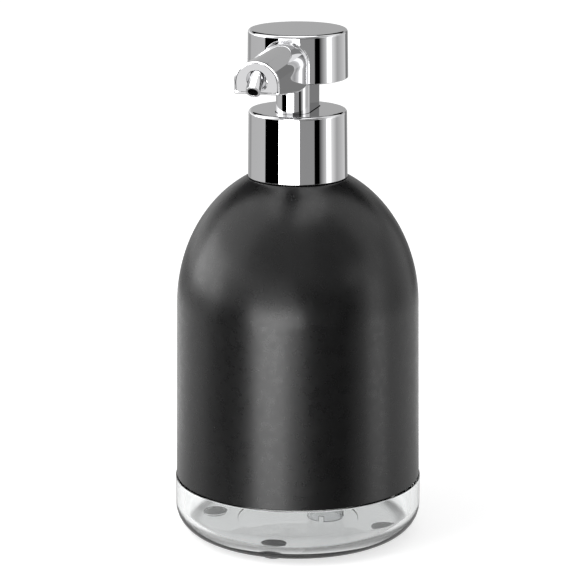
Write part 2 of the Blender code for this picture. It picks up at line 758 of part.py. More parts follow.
def press_head():
    top_radius = HEAD_RADIUS - HEAD_TAPER
    profile = [(0, HEAD_HEIGHT)]
    profile += arc(top_radius - HEAD_EDGE, HEAD_HEIGHT - HEAD_EDGE, HEAD_EDGE, 90, 0, EDGE_STEPS)
    profile += [(HEAD_RADIUS, 0), (0, 0)]
    made = turned("press_head", profile, HEAD_BOTTOM, DRUM_STEPS, closed=False)
    join(made, arm_loft("arm_outside", 0, ARM_ROOT_INSIDE, ARM_REACH))
    hollow_bottom = HEAD_BOTTOM - CUT_OVERRUN
    hollow = rod("head_hollow", HEAD_BORE, hollow_bottom, ROOF_Z - hollow_bottom, DRUM_STEPS)
    join(hollow, arm_loft("arm_channel", ARM_WALL, HEAD_BORE - 2 * CUT_OVERRUN, ARM_REACH - SEAT_DEPTH / 2))
    join(hollow, arm_loft("plate_seat", ARM_RIM, ARM_REACH - SEAT_DEPTH, ARM_REACH + CUT_OVERRUN, False))
    cut(made, hollow)
    return part(made, CHROME, PRESS)


def nozzle_axis():
    """Where the slanted nozzle crosses the tip's face, and the direction that foam leaves it."""
    height = ARM_TIP_RISE + NOZZLE_HEIGHT
    reach = ARM_REACH + NOZZLE_HEIGHT * math.tan(ARM_TIP_LEAN)
    crossing = Vector((0, -reach, HEAD_BOTTOM + height))
    return crossing, Vector((0, -math.cos(NOZZLE_TILT), -math.sin(NOZZLE_TILT)))


def slanted_bar(name, radius, before, after, tilt, steps):
    """A bar through the nozzle's crossing point, from before it to after it, tilted down."""
    crossing, _ = nozzle_axis()
    made = rod(name, radius, 0, before + after, steps)
    made.rotation_euler.x = math.radians(90) + tilt
    way = Vector((0, -math.cos(tilt), -math.sin(tilt)))
    made.location = crossing - way * before
    return made


def nozzle_plate():
    made = arm_loft("nozzle_plate", ARM_RIM + FIT_GAP, ARM_REACH - PLATE_THICKNESS, ARM_REACH, False)
    through = PLATE_THICKNESS + CUT_OVERRUN
    cut(made, slanted_bar("plate_hole", PLATE_HOLE_RADIUS, through, through, -ARM_TIP_LEAN, PUMP_STEPS))
    slot_radius = NOZZLE_RADIUS + FIT_GAP
    cut(made, slanted_bar("nozzle_slot", slot_radius, 2 * through, 2 * through, NOZZLE_TILT, PUMP_STEPS))
    return part(made, CHROME, PRESS)


def nozzle_tube():
    made = slanted_bar("nozzle_tube", NOZZLE_RADIUS, NOZZLE_INSIDE, NOZZLE_OUTSIDE, NOZZLE_TILT, PUMP_STEPS)
    before = NOZZLE_INSIDE + CUT_OVERRUN
    after = NOZZLE_OUTSIDE + CUT_OVERRUN
    cut(made, slanted_bar("nozzle_drill", NOZZLE_BORE, before, after, NOZZLE_TILT, SMALL_STEPS))
    return part(made, CHROME, PRESS)


def stem_sleeve():
    flange_bottom = HEAD_BOTTOM + STEM_FLANGE_RECESS
    flange_top = flange_bottom + STEM_FLANGE
    made = flat_piece(
        "stem_sleeve", obround(STEM_HALF_LENGTH, STEM_HALF_WIDTH), STEM_BOTTOM, flange_top - STEM_BOTTOM
    )
    join(made, rod("stem_flange", HEAD_BORE - FIT_GAP, flange_bottom, STEM_FLANGE, DRUM_STEPS))
    bore = flat_piece(
        "stem_bore",
        obround(STEM_HALF_LENGTH - STEM_WALL, STEM_HALF_WIDTH - STEM_WALL),
        STEM_BOTTOM - CUT_OVERRUN,
        flange_top - STEM_BOTTOM + 2 * CUT_OVERRUN,
    )
    cut(made, bore)
    return part(made, CHROME, PRESS)


MESH_SEAT_Z = ROD_TOP + FIT_GAP + 2 * (MESH_THICKNESS + FIT_GAP) + MESH_RING_HEIGHT + FIT_GAP


def foam_core():
    height = ROOF_Z - FIT_GAP - CORE_BOTTOM
    seat = MESH_SEAT_Z - CORE_BOTTOM
    profile = [
        (0, height),
        (CORE_RADIUS, height),
        (CORE_RADIUS, 0),
        (CORE_ROD_BORE, 0),
        (CORE_ROD_BORE, seat),
        (CORE_FOAM_BORE, seat),
        (CORE_FOAM_BORE, height - CORE_ROOF),
        (0, height - CORE_ROOF),
    ]
    made = turned("foam_core", profile, CORE_BOTTOM, PUMP_STEPS, closed=False)
    level = HEAD_BOTTOM + CORE_ARM_HEIGHT
    crossing, way = nozzle_axis()
    inner_end = crossing - way * NOZZLE_INSIDE
    reach = -inner_end.y - NOZZLE_RADIUS * math.sin(NOZZLE_TILT) - FIT_GAP
    start = (CORE_RADIUS + CORE_FOAM_BORE) / 2
    for name, radius, first, last, act in (
        ("core_arm", CORE_ARM_RADIUS, start, reach, join),
        ("core_arm_bore", CORE_ARM_BORE, 0, reach + CUT_OVERRUN, cut),
    ):
        bar = rod(name, radius, 0, last - first, SMALL_STEPS)
        bar.rotation_euler.x = math.radians(90)
        bar.location = (0, -first, level)
        act(made, bar)
    return part(made, WHITE, PRESS)


def mesh_ring():
    outer = CORE_ROD_BORE - FIT_GAP
    z = ROD_TOP + FIT_GAP + MESH_THICKNESS + FIT_GAP
    made = ring("mesh_ring", outer - MESH_RING_WALL, outer, z, MESH_RING_HEIGHT, SMALL_STEPS)
    return part(made, WHITE, PRESS)


def mesh_screen(name, z):
    """A rim with crossed bars. The real screen is far finer."""
    outer = CORE_ROD_BORE - FIT_GAP
    inner = outer - MESH_RING_WALL
    made = ring(name, inner, outer, z, MESH_THICKNESS, MESH_STEPS)
    spacing = 2 * inner / (MESH_BARS + 1)
    for k in range(MESH_BARS):
        place = -inner + spacing * (k + 1)
        length = 2 * math.sqrt(inner**2 - place**2) + MESH_RING_WALL
        for way, size, spot in (
            ("x", (length, MESH_BAR, MESH_THICKNESS), (0, place)),
            ("y", (MESH_BAR, length, MESH_THICKNESS), (place, 0)),
        ):
            builder = bmesh.new()
            bmesh.ops.create_cube(builder, size=1)
            bmesh.ops.scale(builder, verts=builder.verts, vec=size)
            bar = object_from(f"{name}_bar_{way}{k}", builder, z + MESH_THICKNESS / 2)
            bar.location.x, bar.location.y = spot
            join(made, bar)
    return part(made, WHITE, PRESS)


def piston_rod():
    shoulder_top = ROD_SHOULDER_TOP - ROD_BOTTOM
    shoulder_bottom = shoulder_top - ROD_SHOULDER_THICKNESS
    height = ROD_TOP - ROD_BOTTOM
    seat = height - OUTLET_CAGE_HEIGHT
    seal_top = SEAL_BOTTOM + SEAL_HEIGHT + FIT_GAP - ROD_BOTTOM
    cage = OUTLET_BALL_RADIUS + SLIDE_CLEARANCE
    profile = [
        (cage, height),
        (ROD_RADIUS, height),
        (ROD_RADIUS, shoulder_top),
        (ROD_SHOULDER, shoulder_top),
        (ROD_SHOULDER, shoulder_bottom),
        (ROD_RADIUS, shoulder_bottom),
        (ROD_RADIUS, seal_top),
        (ROD_NECK_RADIUS, seal_top),
        (ROD_NECK_RADIUS, ROD_LIP_THICKNESS),
        (ROD_LIP_RADIUS, ROD_LIP_THICKNESS),
        (ROD_LIP_RADIUS, 0),
        (ROD_BORE, 0),
        (ROD_BORE, seat - OUTLET_BALL_RADIUS),
        (OUTLET_BALL_RADIUS - SLIDE_CLEARANCE, seat - OUTLET_BALL_RADIUS),
        (OUTLET_BALL_RADIUS - SLIDE_CLEARANCE, seat),
        (cage, seat),
    ]
    made = turned("piston_rod", profile, ROD_BOTTOM, SMALL_STEPS)
    return part(made, WHITE, PRESS)


def outlet_ball():
    seat = ROD_TOP - OUTLET_CAGE_HEIGHT
    rise = seat_rise(OUTLET_BALL_RADIUS, OUTLET_BALL_RADIUS - SLIDE_CLEARANCE) + FIT_GAP
    return part(ball("outlet_ball", OUTLET_BALL_RADIUS, seat + rise), STEEL, PRESS)


def air_piston():
    outer = AIR_BORE - FIT_GAP
    inner = ROD_RADIUS + FIT_GAP
    web_bottom = AIR_PISTON_HEIGHT - AIR_PISTON_WEB
    profile = [
        (inner, AIR_PISTON_HEIGHT),
        (outer - AIR_PISTON_LIP, AIR_PISTON_HEIGHT),
        (outer, AIR_PISTON_HEIGHT - AIR_PISTON_LIP),
        (outer, 0),
        (outer - AIR_PISTON_LIP, 0),
        (outer - AIR_PISTON_LIP, web_bottom),
        (inner, web_bottom),
    ]
    made = turned("air_piston", profile, AIR_PISTON_BOTTOM, PUMP_STEPS)
    z = AIR_PISTON_BOTTOM + web_bottom - CUT_OVERRUN
    through = AIR_PISTON_WEB + 2 * CUT_OVERRUN
    for name, x, y in (("a", 1, 0), ("b", -1, 0), ("c", 0, 1), ("d", 0, -1)):
        drill = rod("air_hole_" + name, AIR_HOLE_RADIUS, z, through, SMALL_STEPS // 2)
        drill.location.x = AIR_HOLE_CIRCLE * x
        drill.location.y = AIR_HOLE_CIRCLE * y
        cut(made, drill)
    return part(made, WHITE, PRESS)


def air_valve():
    """A soft ring that lies under the air piston's holes, held by the rod's shoulder."""
    inner = ROD_RADIUS + FIT_GAP
    outer = AIR_HOLE_CIRCLE + AIR_HOLE_RADIUS + FIT_GAP
    z = ROD_SHOULDER_TOP + FIT_GAP
    made = ring("air_valve", inner, outer, z, VALVE_THICKNESS, SMALL_STEPS)
    return part(made, SOFT, PRESS)


def soap_piston_seal():
    outer = SOAP_BORE - FIT_GAP
    inner = ROD_NECK_RADIUS + FIT_GAP
    profile = [
        (inner, SEAL_HEIGHT),
        (outer - SEAL_SKIRT, SEAL_HEIGHT),
        (outer, SEAL_HEIGHT - SEAL_SKIRT),
        (outer, 0),
        (outer - SEAL_SKIRT, 0),
        (outer - SEAL_SKIRT, SEAL_SKIRT),
        (inner, SEAL_SKIRT),
    ]
    return part(turned("soap_piston_seal", profile, SEAL_BOTTOM, SMALL_STEPS), SOFT, PRESS)


def return_spring():
    """One unbroken coil that stands on the ledge over the inlet ball and pushes the rod up."""
    coil_radius = SOAP_BORE - FIT_GAP - SPRING_WIRE_RADIUS - SLIDE_CLEARANCE
    rise = SPRING_LENGTH - 2 * SPRING_WIRE_RADIUS
    count = round(SPRING_TURNS * SPRING_POINTS_A_TURN)
    route = []
    for k in range(count + 1):
        share = k / count
        angle = math.tau * SPRING_TURNS * share
        z = SPRING_BOTTOM + SPRING_WIRE_RADIUS + rise * share
        route.append((coil_radius * math.cos(angle), coil_radius * math.sin(angle), z))
    apart = rise / SPRING_TURNS - 2 * SPRING_WIRE_RADIUS
    print(f"return spring: least gap between turns {apart * 1000:.2f} mm")
    return part(tube("return_spring", route, SPRING_WIRE_RADIUS, 1), STEEL, PRESS)


inner_bottle()
bottle_neck()
foot_pads()
outer_cover()
neck_gasket()
closure_nut()
collar()
pump_housing()
inlet_ball()
dip_tube()
strainer_foot()
press_head()
nozzle_plate()
nozzle_tube()
stem_sleeve()
foam_core()
mesh_ring()
mesh_screen("mesh_screen_lower", ROD_TOP + FIT_GAP)
mesh_screen("mesh_screen_upper", MESH_SEAT_Z - FIT_GAP - MESH_THICKNESS)
piston_rod()
outlet_ball()
air_piston()
air_valve()
soap_piston_seal()
return_spring()
bpy.context.view_layer.update()
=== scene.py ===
# %% [markdown]
# # A foam soap dispenser with a press pump
#
# The real object is a clear bottle under a satin black bell, with a chromed pump on top.
# The solids come packed from the CAD step, where every piece is already at its real size.
# This lesson gives them their looks: smooth rounded pieces, finishes, and the studio round them.
# Lengths are in metres. The pump's axis is the Z axis and the spout points along -Y.

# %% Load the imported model
import math

import bpy
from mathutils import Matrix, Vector


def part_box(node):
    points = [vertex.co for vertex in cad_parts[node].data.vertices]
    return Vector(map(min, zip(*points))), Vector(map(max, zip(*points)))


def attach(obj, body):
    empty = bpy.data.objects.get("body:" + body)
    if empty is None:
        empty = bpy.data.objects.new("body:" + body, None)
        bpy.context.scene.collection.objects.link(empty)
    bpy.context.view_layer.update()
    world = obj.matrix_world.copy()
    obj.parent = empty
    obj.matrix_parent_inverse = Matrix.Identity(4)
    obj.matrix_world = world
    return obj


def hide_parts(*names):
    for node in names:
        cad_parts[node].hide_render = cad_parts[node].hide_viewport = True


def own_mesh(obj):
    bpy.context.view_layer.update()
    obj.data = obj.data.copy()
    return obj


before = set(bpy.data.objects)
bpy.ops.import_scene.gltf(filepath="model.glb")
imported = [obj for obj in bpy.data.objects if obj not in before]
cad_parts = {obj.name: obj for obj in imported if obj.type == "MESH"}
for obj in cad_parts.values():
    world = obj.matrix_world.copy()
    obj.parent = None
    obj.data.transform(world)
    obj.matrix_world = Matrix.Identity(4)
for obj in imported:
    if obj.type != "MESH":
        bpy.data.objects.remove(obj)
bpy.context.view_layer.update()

# %% [markdown]
# ## The camera
#
# A long lens from a metre away keeps the sides of the bottle nearly parallel. The round edges in
# the photograph show as ellipses, and how flat they are tells how far down the camera looks.
# A camera could be placed by eye, but numbers worked out from the ellipses give the same view
# every time. The picture's middle lies a little to the side of the pump, hence the small shift.

# %% Place the camera
CAMERA_REACH = 0.9075
CAMERA_HEIGHT = 0.3264
CAMERA_TURN = math.radians(15.457)
CAMERA_PITCH = math.radians(14.549)
CAMERA_LENS_MM = 159.4
CAMERA_SHIFT = -0.0135

camera_data = bpy.data.cameras.new("camera")
camera_data.lens = CAMERA_LENS_MM
camera_data.shift_x = CAMERA_SHIFT
camera = bpy.data.objects.new("camera", camera_data)
camera.location = (
    CAMERA_REACH * math.sin(CAMERA_TURN),
    -CAMERA_REACH * math.cos(CAMERA_TURN),
    CAMERA_HEIGHT,
)
camera.rotation_euler = (math.pi / 2 - CAMERA_PITCH, 0, CAMERA_TURN)
bpy.context.scene.collection.objects.link(camera)
bpy.context.scene.camera = camera
print("camera stands at", [round(value, 3) for value in camera.location])

# %% [markdown]
# ## Finishes
#
# A finish is a small network of nodes. Noise on Object coordinates keeps its place on the
# piece when the piece moves, and needs no unwrapping. Values that are the same all over, such
# as the metal's colour, sit on the shader itself, and only what varies comes from a node.

# %% Helpers that build a finish
def new_finish(name, colour, metallic=0.0, roughness=0.5):
    """A material with its shader, and Object coordinates to put patterns on."""
    finish = bpy.data.materials.new(name)
    finish.use_nodes = True
    shader = finish.node_tree.nodes["Principled BSDF"]
    shader.inputs["Base Color"].default_value = (*colour, 1)
    shader.inputs["Metallic"].default_value = metallic
    shader.inputs["Roughness"].default_value = roughness
    place = finish.node_tree.nodes.new("ShaderNodeTexCoord")
    return finish, shader, place.outputs["Object"]


def noise(finish, place, grain, detail=2.0):
    """Cloudy noise whose blotches are about one grain wide."""
    node = finish.node_tree.nodes.new("ShaderNodeTexNoise")
    node.inputs["Scale"].default_value = 1 / grain
    node.inputs["Detail"].default_value = detail
    finish.node_tree.links.new(place, node.inputs["Vector"])
    return node.outputs["Fac"]


def spread(finish, value, low, high, socket):
    """Stretch a noise value to lie between low and high, and plug it into a socket."""
    node = finish.node_tree.nodes.new("ShaderNodeMapRange")
    node.inputs["From Min"].default_value = 0.3
    node.inputs["From Max"].default_value = 0.7
    node.inputs["To Min"].default_value = low
    node.inputs["To Max"].default_value = high
    finish.node_tree.links.new(value, node.inputs["Value"])
    finish.node_tree.links.new(node.outputs["Result"], socket)


def blotches(finish, value, dark, light, shader):
    """Let the colour drift between two close shades."""
    node = finish.node_tree.nodes.new("ShaderNodeValToRGB")
    node.color_ramp.elements[0].position = 0.35
    node.color_ramp.elements[0].color = (*dark, 1)
    node.color_ramp.elements[1].position = 0.65
    node.color_ramp.elements[1].color = (*light, 1)
    finish.node_tree.links.new(value, node.inputs["Fac"])
    finish.node_tree.links.new(node.outputs["Color"], shader.inputs["Base Color"])


def bump(finish, value, depth, shader):
    """Raise and lower the surface's shading by a real depth."""
    node = finish.node_tree.nodes.new("ShaderNodeBump")
    node.inputs["Strength"].default_value = 1.0
    node.inputs["Distance"].default_value = depth
    finish.node_tree.links.new(value, node.inputs["Height"])
    finish.node_tree.links.new(node.outputs["Normal"], shader.inputs["Normal"])


# %% [markdown]
# ### Chrome
#
# Plated plastic is a nearly perfect mirror, so its look is made by what stands round it.
# A mirror with no flaw at all looks like a computer's, so its polish varies very slightly.

# %% Chrome
CHROME_TINT = (0.80, 0.80, 0.81)
CHROME_ROUGHNESS = (0.018, 0.035)
POLISH_CLOUD = 0.012

chrome, shader, place = new_finish("chrome_plating", CHROME_TINT, metallic=1.0)
spread(chrome, noise(chrome, place, POLISH_CLOUD), *CHROME_ROUGHNESS, shader.inputs["Roughness"])
print("made", chrome.name)

# %% [markdown]
# ### Satin black
#
# The bell has a soft-touch coat. Up close it is full of tiny pimples, which widen the
# highlights. A fine bump does that better than roughness alone, because it also shows as grain.

# %% Satin black coat
COAT_DARK = (0.0060, 0.0060, 0.0063)
COAT_LIGHT = (0.0085, 0.0085, 0.0088)
COAT_GRAIN = 0.0005
COAT_PIMPLE = 0.000006
COAT_CLOUD = 0.009
COAT_ROUGHNESS = (0.26, 0.31)

satin_black, shader, place = new_finish("satin_black_coat", COAT_DARK)
blotches(satin_black, noise(satin_black, place, COAT_CLOUD), COAT_DARK, COAT_LIGHT, shader)
fine_cloud = noise(satin_black, place, COAT_CLOUD / 3)
spread(satin_black, fine_cloud, *COAT_ROUGHNESS, shader.inputs["Roughness"])
bump(satin_black, noise(satin_black, place, COAT_GRAIN, 3.0), COAT_PIMPLE, shader)
print("made", satin_black.name)

# %% [markdown]
# ### Clear plastic and its neighbours
#
# The bottle is acrylic: light passes through it and bends by its index of refraction, 1.49.
# The strainer and the tube are cloudy, so some of their light scatters inside instead.

# %% Clear and frosted plastic
ACRYLIC_TINT = (0.97, 0.98, 0.98)
ACRYLIC_IOR = 1.49
ACRYLIC_ROUGHNESS = (0.0, 0.012)
RIPPLE_WIDTH = 0.020
RIPPLE_DEPTH = 0.00001
FROST_TINT = (0.92, 0.93, 0.94)
FROST_ROUGHNESS = (0.14, 0.24)
FROST_CLOUD = 0.003
FROST_CLEARNESS = 0.90

clear_acrylic, shader, place = new_finish("clear_acrylic", ACRYLIC_TINT)
shader.inputs["Transmission Weight"].default_value = 1.0
shader.inputs["IOR"].default_value = ACRYLIC_IOR
ripples = noise(clear_acrylic, place, RIPPLE_WIDTH, 1.0)
spread(clear_acrylic, ripples, *ACRYLIC_ROUGHNESS, shader.inputs["Roughness"])
bump(clear_acrylic, ripples, RIPPLE_DEPTH, shader)

frosted, shader, place = new_finish("frosted_polythene", FROST_TINT)
shader.inputs["Transmission Weight"].default_value = FROST_CLEARNESS
shader.inputs["IOR"].default_value = ACRYLIC_IOR
spread(frosted, noise(frosted, place, FROST_CLOUD), *FROST_ROUGHNESS, shader.inputs["Roughness"])
print("made", clear_acrylic.name, "and", frosted.name)

# %% [markdown]
# ### Rubber, moulded plastic, steel wire and seals
#
# These are small or hidden, yet they still get a grain, because they show when the pump is
# taken apart. Drawn wire is scratched along its length, and its turns lie nearly level, so its
# noise is squeezed in height.

# %% Small finishes
MOULD_CLOUD = 0.004
RUBBER_GRAIN = 0.0006
RUBBER_SHADES = ((0.20, 0.20, 0.205), (0.24, 0.24, 0.245))
MOULDED_SHADES = ((0.72, 0.72, 0.71), (0.78, 0.78, 0.77))
SEAL_SHADES = ((0.66, 0.68, 0.70), (0.72, 0.74, 0.76))


def moulded_finish(name, shades, roughness):
    """A finish whose shade and roughness both drift a little from place to place."""
    finish, shader, place = new_finish(name, shades[0])
    blotches(finish, noise(finish, place, MOULD_CLOUD), *shades, shader)
    spread(finish, noise(finish, place, MOULD_CLOUD), *roughness, shader.inputs["Roughness"])
    return finish, shader, place


grey_rubber, shader, place = moulded_finish("moulded_rubber", RUBBER_SHADES, (0.6, 0.75))
bump(grey_rubber, noise(grey_rubber, place, RUBBER_GRAIN), COAT_PIMPLE, shader)
white_moulded, _, _ = moulded_finish("white_moulded_plastic", MOULDED_SHADES, (0.35, 0.45))
soft_seal, _, _ = moulded_finish("pale_elastomer", SEAL_SHADES, (0.5, 0.65))
print("finishes so far:", len(bpy.data.materials))

# %% Steel wire and the painted shade of the nozzle's bore
STEEL_TINT = (0.55, 0.55, 0.56)
STEEL_ROUGHNESS = (0.18, 0.32)
SCRATCH_SQUEEZE = 12
# Near black: painted shade in the nozzle's bore, where no light reaches.
BORE_PAINTED_SHADE = (0.004, 0.004, 0.004)
BORE_ROUGHNESS = (0.7, 0.9)

drawn_steel, shader, place = new_finish("drawn_steel", STEEL_TINT, metallic=1.0)
squeeze = drawn_steel.node_tree.nodes.new("ShaderNodeMapping")
squeeze.inputs["Scale"].default_value = (1, 1, SCRATCH_SQUEEZE)
drawn_steel.node_tree.links.new(place, squeeze.inputs["Vector"])
scratches = noise(drawn_steel, squeeze.outputs["Vector"], MOULD_CLOUD / 2)
spread(drawn_steel, scratches, *STEEL_ROUGHNESS, shader.inputs["Roughness"])

painted_shade_bore, shader, place = new_finish("nozzle_bore_painted_shade", BORE_PAINTED_SHADE)
spread(painted_shade_bore, noise(painted_shade_bore, place, MOULD_CLOUD), *BORE_ROUGHNESS, shader.inputs["Roughness"])
print("finishes so far:", len(bpy.data.materials))

# %% [markdown]
# ## Tools for turned pieces
#
# Most of this object was made on round moulds, so most pieces are an outline turned about an
# axis. By hand you would place one point, extrude it from corner to corner, and spin the line.
# The helpers do just that. A corner may have a rounding, because no real edge is quite sharp,
# and a rounded edge is what catches the light.

# %% Outline and turning helpers
TURN_STEPS = 160
ARC_STEPS = 8
MERGE = 0.000001
SMOOTH_ANGLE = math.radians(35)


def rounded(*corners):
    """Points of a closed outline. A corner is (radius, height) or (radius, height, rounding)."""
    outline = []
    for k, (x, z, *rounding) in enumerate(corners):
        here = Vector((x, z))
        if not rounding:
            outline.append(here)
            continue
        size = rounding[0]
        before = (Vector(corners[k - 1][:2]) - here).normalized()
        after = (Vector(corners[(k + 1) % len(corners)][:2]) - here).normalized()
        half = before.angle(after) / 2
        centre = here + (before + after).normalized() * size / math.sin(half)
        start = here + before * size / math.tan(half) - centre
        end = here + after * size / math.tan(half) - centre
        turn = start.angle_signed(end)
        for step in range(ARC_STEPS + 1):
            angle = -turn * step / ARC_STEPS
            spoke = (
                start.x * math.cos(angle) - start.y * math.sin(angle),
                start.x * math.sin(angle) + start.y * math.cos(angle),
            )
            outline.append(centre + Vector(spoke))
    return outline


def deselect_all():
    """Operators act on all that is selected, so every piece starts from nothing selected."""
    bpy.ops.object.select_all(action="DESELECT")


def name_piece(name):
    piece = bpy.context.object
    piece.name = name
    piece.data.name = name
    return piece


def merge_doubles():
    """In edit mode: select all and merge what coincides."""
    bpy.ops.mesh.select_all(action="SELECT")
    bpy.ops.mesh.remove_doubles(threshold=MERGE)


def close_mesh():
    """In edit mode: merge what coincides and turn all faces outwards."""
    merge_doubles()
    bpy.ops.mesh.normals_make_consistent(inside=False)
    bpy.ops.object.mode_set(mode="OBJECT")


def turned(name, outline, ring=False, steps=TURN_STEPS):
    """Extrude one point along an outline and spin the line about the Z axis."""
    points = list(outline) + ([outline[0]] if ring else [])
    deselect_all()
    bpy.ops.mesh.primitive_plane_add(size=1, location=(0, 0, 0))
    piece = name_piece(name)
    bpy.ops.object.mode_set(mode="EDIT")
    bpy.ops.mesh.merge(type="CENTER")
    bpy.ops.transform.translate(value=(points[0][0], 0, points[0][1]))
    for start, end in zip(points, points[1:]):
        move = (end[0] - start[0], 0, end[1] - start[1])
        bpy.ops.mesh.extrude_vertices_move(TRANSFORM_OT_translate={"value": move})
    bpy.ops.mesh.select_all(action="SELECT")
    bpy.ops.mesh.spin(steps=steps, angle=math.tau, center=(0, 0, 0), axis=(0, 0, 1))
    close_mesh()
    return piece


def activate(piece):
    deselect_all()
    piece.select_set(True)
    bpy.context.view_layer.objects.active = piece


def apply_modifier(piece, kind, **settings):
    """Add a modifier, set it up, and apply it."""
    activate(piece)
    modifier = piece.modifiers.new(kind.lower(), kind)
    for key, value in settings.items():
        setattr(modifier, key, value)
    bpy.ops.object.modifier_apply(modifier=modifier.name)


def cut_with(piece, tool):
    """Cut one closed mesh out of another, and clear the tool away."""
    apply_modifier(piece, "BOOLEAN", object=tool, operation="DIFFERENCE", solver="EXACT")
    bpy.data.objects.remove(tool, do_unlink=True)


def fuse_with(piece, tool):
    """Join two closed meshes into one skin."""
    apply_modifier(piece, "BOOLEAN", object=tool, operation="UNION", solver="EXACT")
    bpy.data.objects.remove(tool, do_unlink=True)


def shift_piece(piece, move):
    """Move the mesh itself, so that the object stays at the origin."""
    activate(piece)
    piece.location = move
    bpy.ops.object.transform_apply(location=True, rotation=False, scale=False)


def finish_piece(piece, finish, slot, body, *nodes):
    """Smooth the shading, give the finish, and hang the piece on its CAD body."""
    activate(piece)
    bpy.ops.object.shade_smooth_by_angle(angle=SMOOTH_ANGLE)
    apply_modifier(piece, "WEIGHTED_NORMAL", keep_sharp=True, weight=50)
    if not piece.data.materials:
        piece.data.materials.append(finish)
    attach(piece, body)
    if nodes:
        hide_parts(*nodes)
    size = [round(side * 1000, 1) for side in piece.dimensions]
    print(f"{piece.name}: {size} mm, {len(piece.data.polygons)} faces")


# %% [markdown]
# ## The black bell
#
# A thin moulded shell over the bottle. Its sides widen a little downwards, as a mould needs, and
# its dome is a quarter of an ellipse. Drawing the ellipse by formula keeps the curve even,
# where a few hand-placed points would show as flats in the highlight.

# %% The bell's outline
COVER_WALL = 0.0011
COVER_DRAFT = 0.0008
DOME_START = 0.0863
DOME_HEIGHT = 0.0518
DOME_STEPS = 44
NECK_RADIUS = 0.0140
THREAD_DEPTH = 0.0009
FIT_GAP = 0.0003
RIM_ROUNDING = 0.00035

cover_low, cover_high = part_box("outer_cover")
COVER_RADIUS = cover_high.y
DOME_RADIUS = COVER_RADIUS - COVER_DRAFT
LAND_Z = cover_high.z


def dome(inset, top):
    """The ellipse of the dome, drawn in by inset, from a height down to where the dome starts."""
    height = DOME_HEIGHT - inset
    first = math.asin((top - DOME_START) / height)
    angles = [first * (1 - step / DOME_STEPS) for step in range(DOME_STEPS + 1)]
    return [((DOME_RADIUS - inset) * math.cos(a), DOME_START + height * math.sin(a)) for a in angles]


# %% Turn the bell
hole = NECK_RADIUS + THREAD_DEPTH + 2 * FIT_GAP
outside = dome(0, LAND_Z - RIM_ROUNDING / 2)
inside = dome(COVER_WALL, LAND_Z - COVER_WALL)
bell_outline = rounded(
    (hole, LAND_Z, RIM_ROUNDING / 2),
    (outside[0][0] - RIM_ROUNDING, LAND_Z),
    *outside,
    (COVER_RADIUS, cover_low.z, RIM_ROUNDING),
    (COVER_RADIUS - COVER_WALL, cover_low.z, RIM_ROUNDING),
    *reversed(inside),
    (hole, LAND_Z - COVER_WALL),
)
outer_cover = turned("bell_cover", bell_outline, ring=True)
finish_piece(outer_cover, satin_black, "matt_black", "bottle", "outer_cover")

# %% [markdown]
# ## The clear bottle
#
# The bottle fills the bell, and its thick foot shows below it. The outer bottom corner has a
# large rounding and the inside a smaller one, so the wall between works as a lens. The floor
# has a shallow round dip in the middle. Four pockets underneath hold the rubber pads.

# %% The bottle's outline
bottle_low, bottle_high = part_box("inner_bottle")
BAND_RADIUS = bottle_high.y
BAND_CORNER = 0.0100
BAND_TOP = cover_low.z - FIT_GAP
FLOOR_THICKNESS = 0.0038
FLOOR_DISC_RADIUS = 0.0223
FLOOR_DISC_DEPTH = 0.0004
INNER_CORNER = 0.0064
BOTTLE_WALL = 0.0016
EDGE_ROUNDING = 0.0003

skin = COVER_WALL + FIT_GAP
floor_z = bottle_low.z + FLOOR_THICKNESS
wall_inset = skin + BOTTLE_WALL
mouth_radius = NECK_RADIUS + FIT_GAP
shoulder_z = LAND_Z - skin
bottle_outline = rounded(
    (0, floor_z - FLOOR_DISC_DEPTH),
    (FLOOR_DISC_RADIUS, floor_z - FLOOR_DISC_DEPTH, FLOOR_DISC_DEPTH / 3),
    (FLOOR_DISC_RADIUS + FLOOR_DISC_DEPTH / 8, floor_z, FLOOR_DISC_DEPTH / 3),
    (COVER_RADIUS - wall_inset, floor_z, INNER_CORNER),
    *reversed(dome(wall_inset, LAND_Z - wall_inset)),
    (mouth_radius, LAND_Z - wall_inset, EDGE_ROUNDING),
    (mouth_radius, shoulder_z, EDGE_ROUNDING),
    *dome(skin, shoulder_z),
    (COVER_RADIUS - skin, BAND_TOP),
    (BAND_RADIUS, BAND_TOP, EDGE_ROUNDING),
    (BAND_RADIUS, bottle_low.z, BAND_CORNER),
    (0, bottle_low.z),
)
inner_bottle = turned("clear_bottle", bottle_outline)

# %% Cut the pads' pockets
PAD_RADIUS = 0.0044
PAD_ROUNDING = 0.00025
PAD_NODES = ("foot_pad_front", "foot_pad_back", "foot_pad_left", "foot_pad_right")
PAD_STEPS = 48
POCKET_SLACK = 0.0003

for node in PAD_NODES:
    low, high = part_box(node)
    middle = (low + high) / 2
    radius = PAD_RADIUS + POCKET_SLACK
    top = high.z + POCKET_SLACK
    pocket = turned("pocket", [(0, -top), (radius, -top), (radius, top), (0, top)], steps=PAD_STEPS)
    shift_piece(pocket, (middle.x, middle.y, 0))
    cut_with(inner_bottle, pocket)
finish_piece(inner_bottle, clear_acrylic, "clear_plastic", "bottle", "inner_bottle")

# %% [markdown]
# ## The threaded neck
#
# The neck is a tube glued into the bottle's mouth. A thread is a small wedge carried round it
# while it climbs. The Screw modifier does that to a flat outline in one go, and the ends are
# capped before the ridge is fused to the tube.

# %% Wind the ridge and fuse it to the neck
NECK_WALL = 0.0015
THREAD_PITCH = 0.0030
THREAD_TURNS = 1.25
THREAD_ROOT = 0.0011
THREAD_CREST = 0.0006
THREAD_MARGIN = 0.0008
THREAD_STEPS = 100


def select_open_edges():
    """In edit mode: select the edges that have a face on one side only."""
    bpy.ops.mesh.select_all(action="DESELECT")
    bpy.ops.mesh.select_non_manifold(
        extend=False, use_multi_face=False, use_non_contiguous=False, use_verts=False
    )


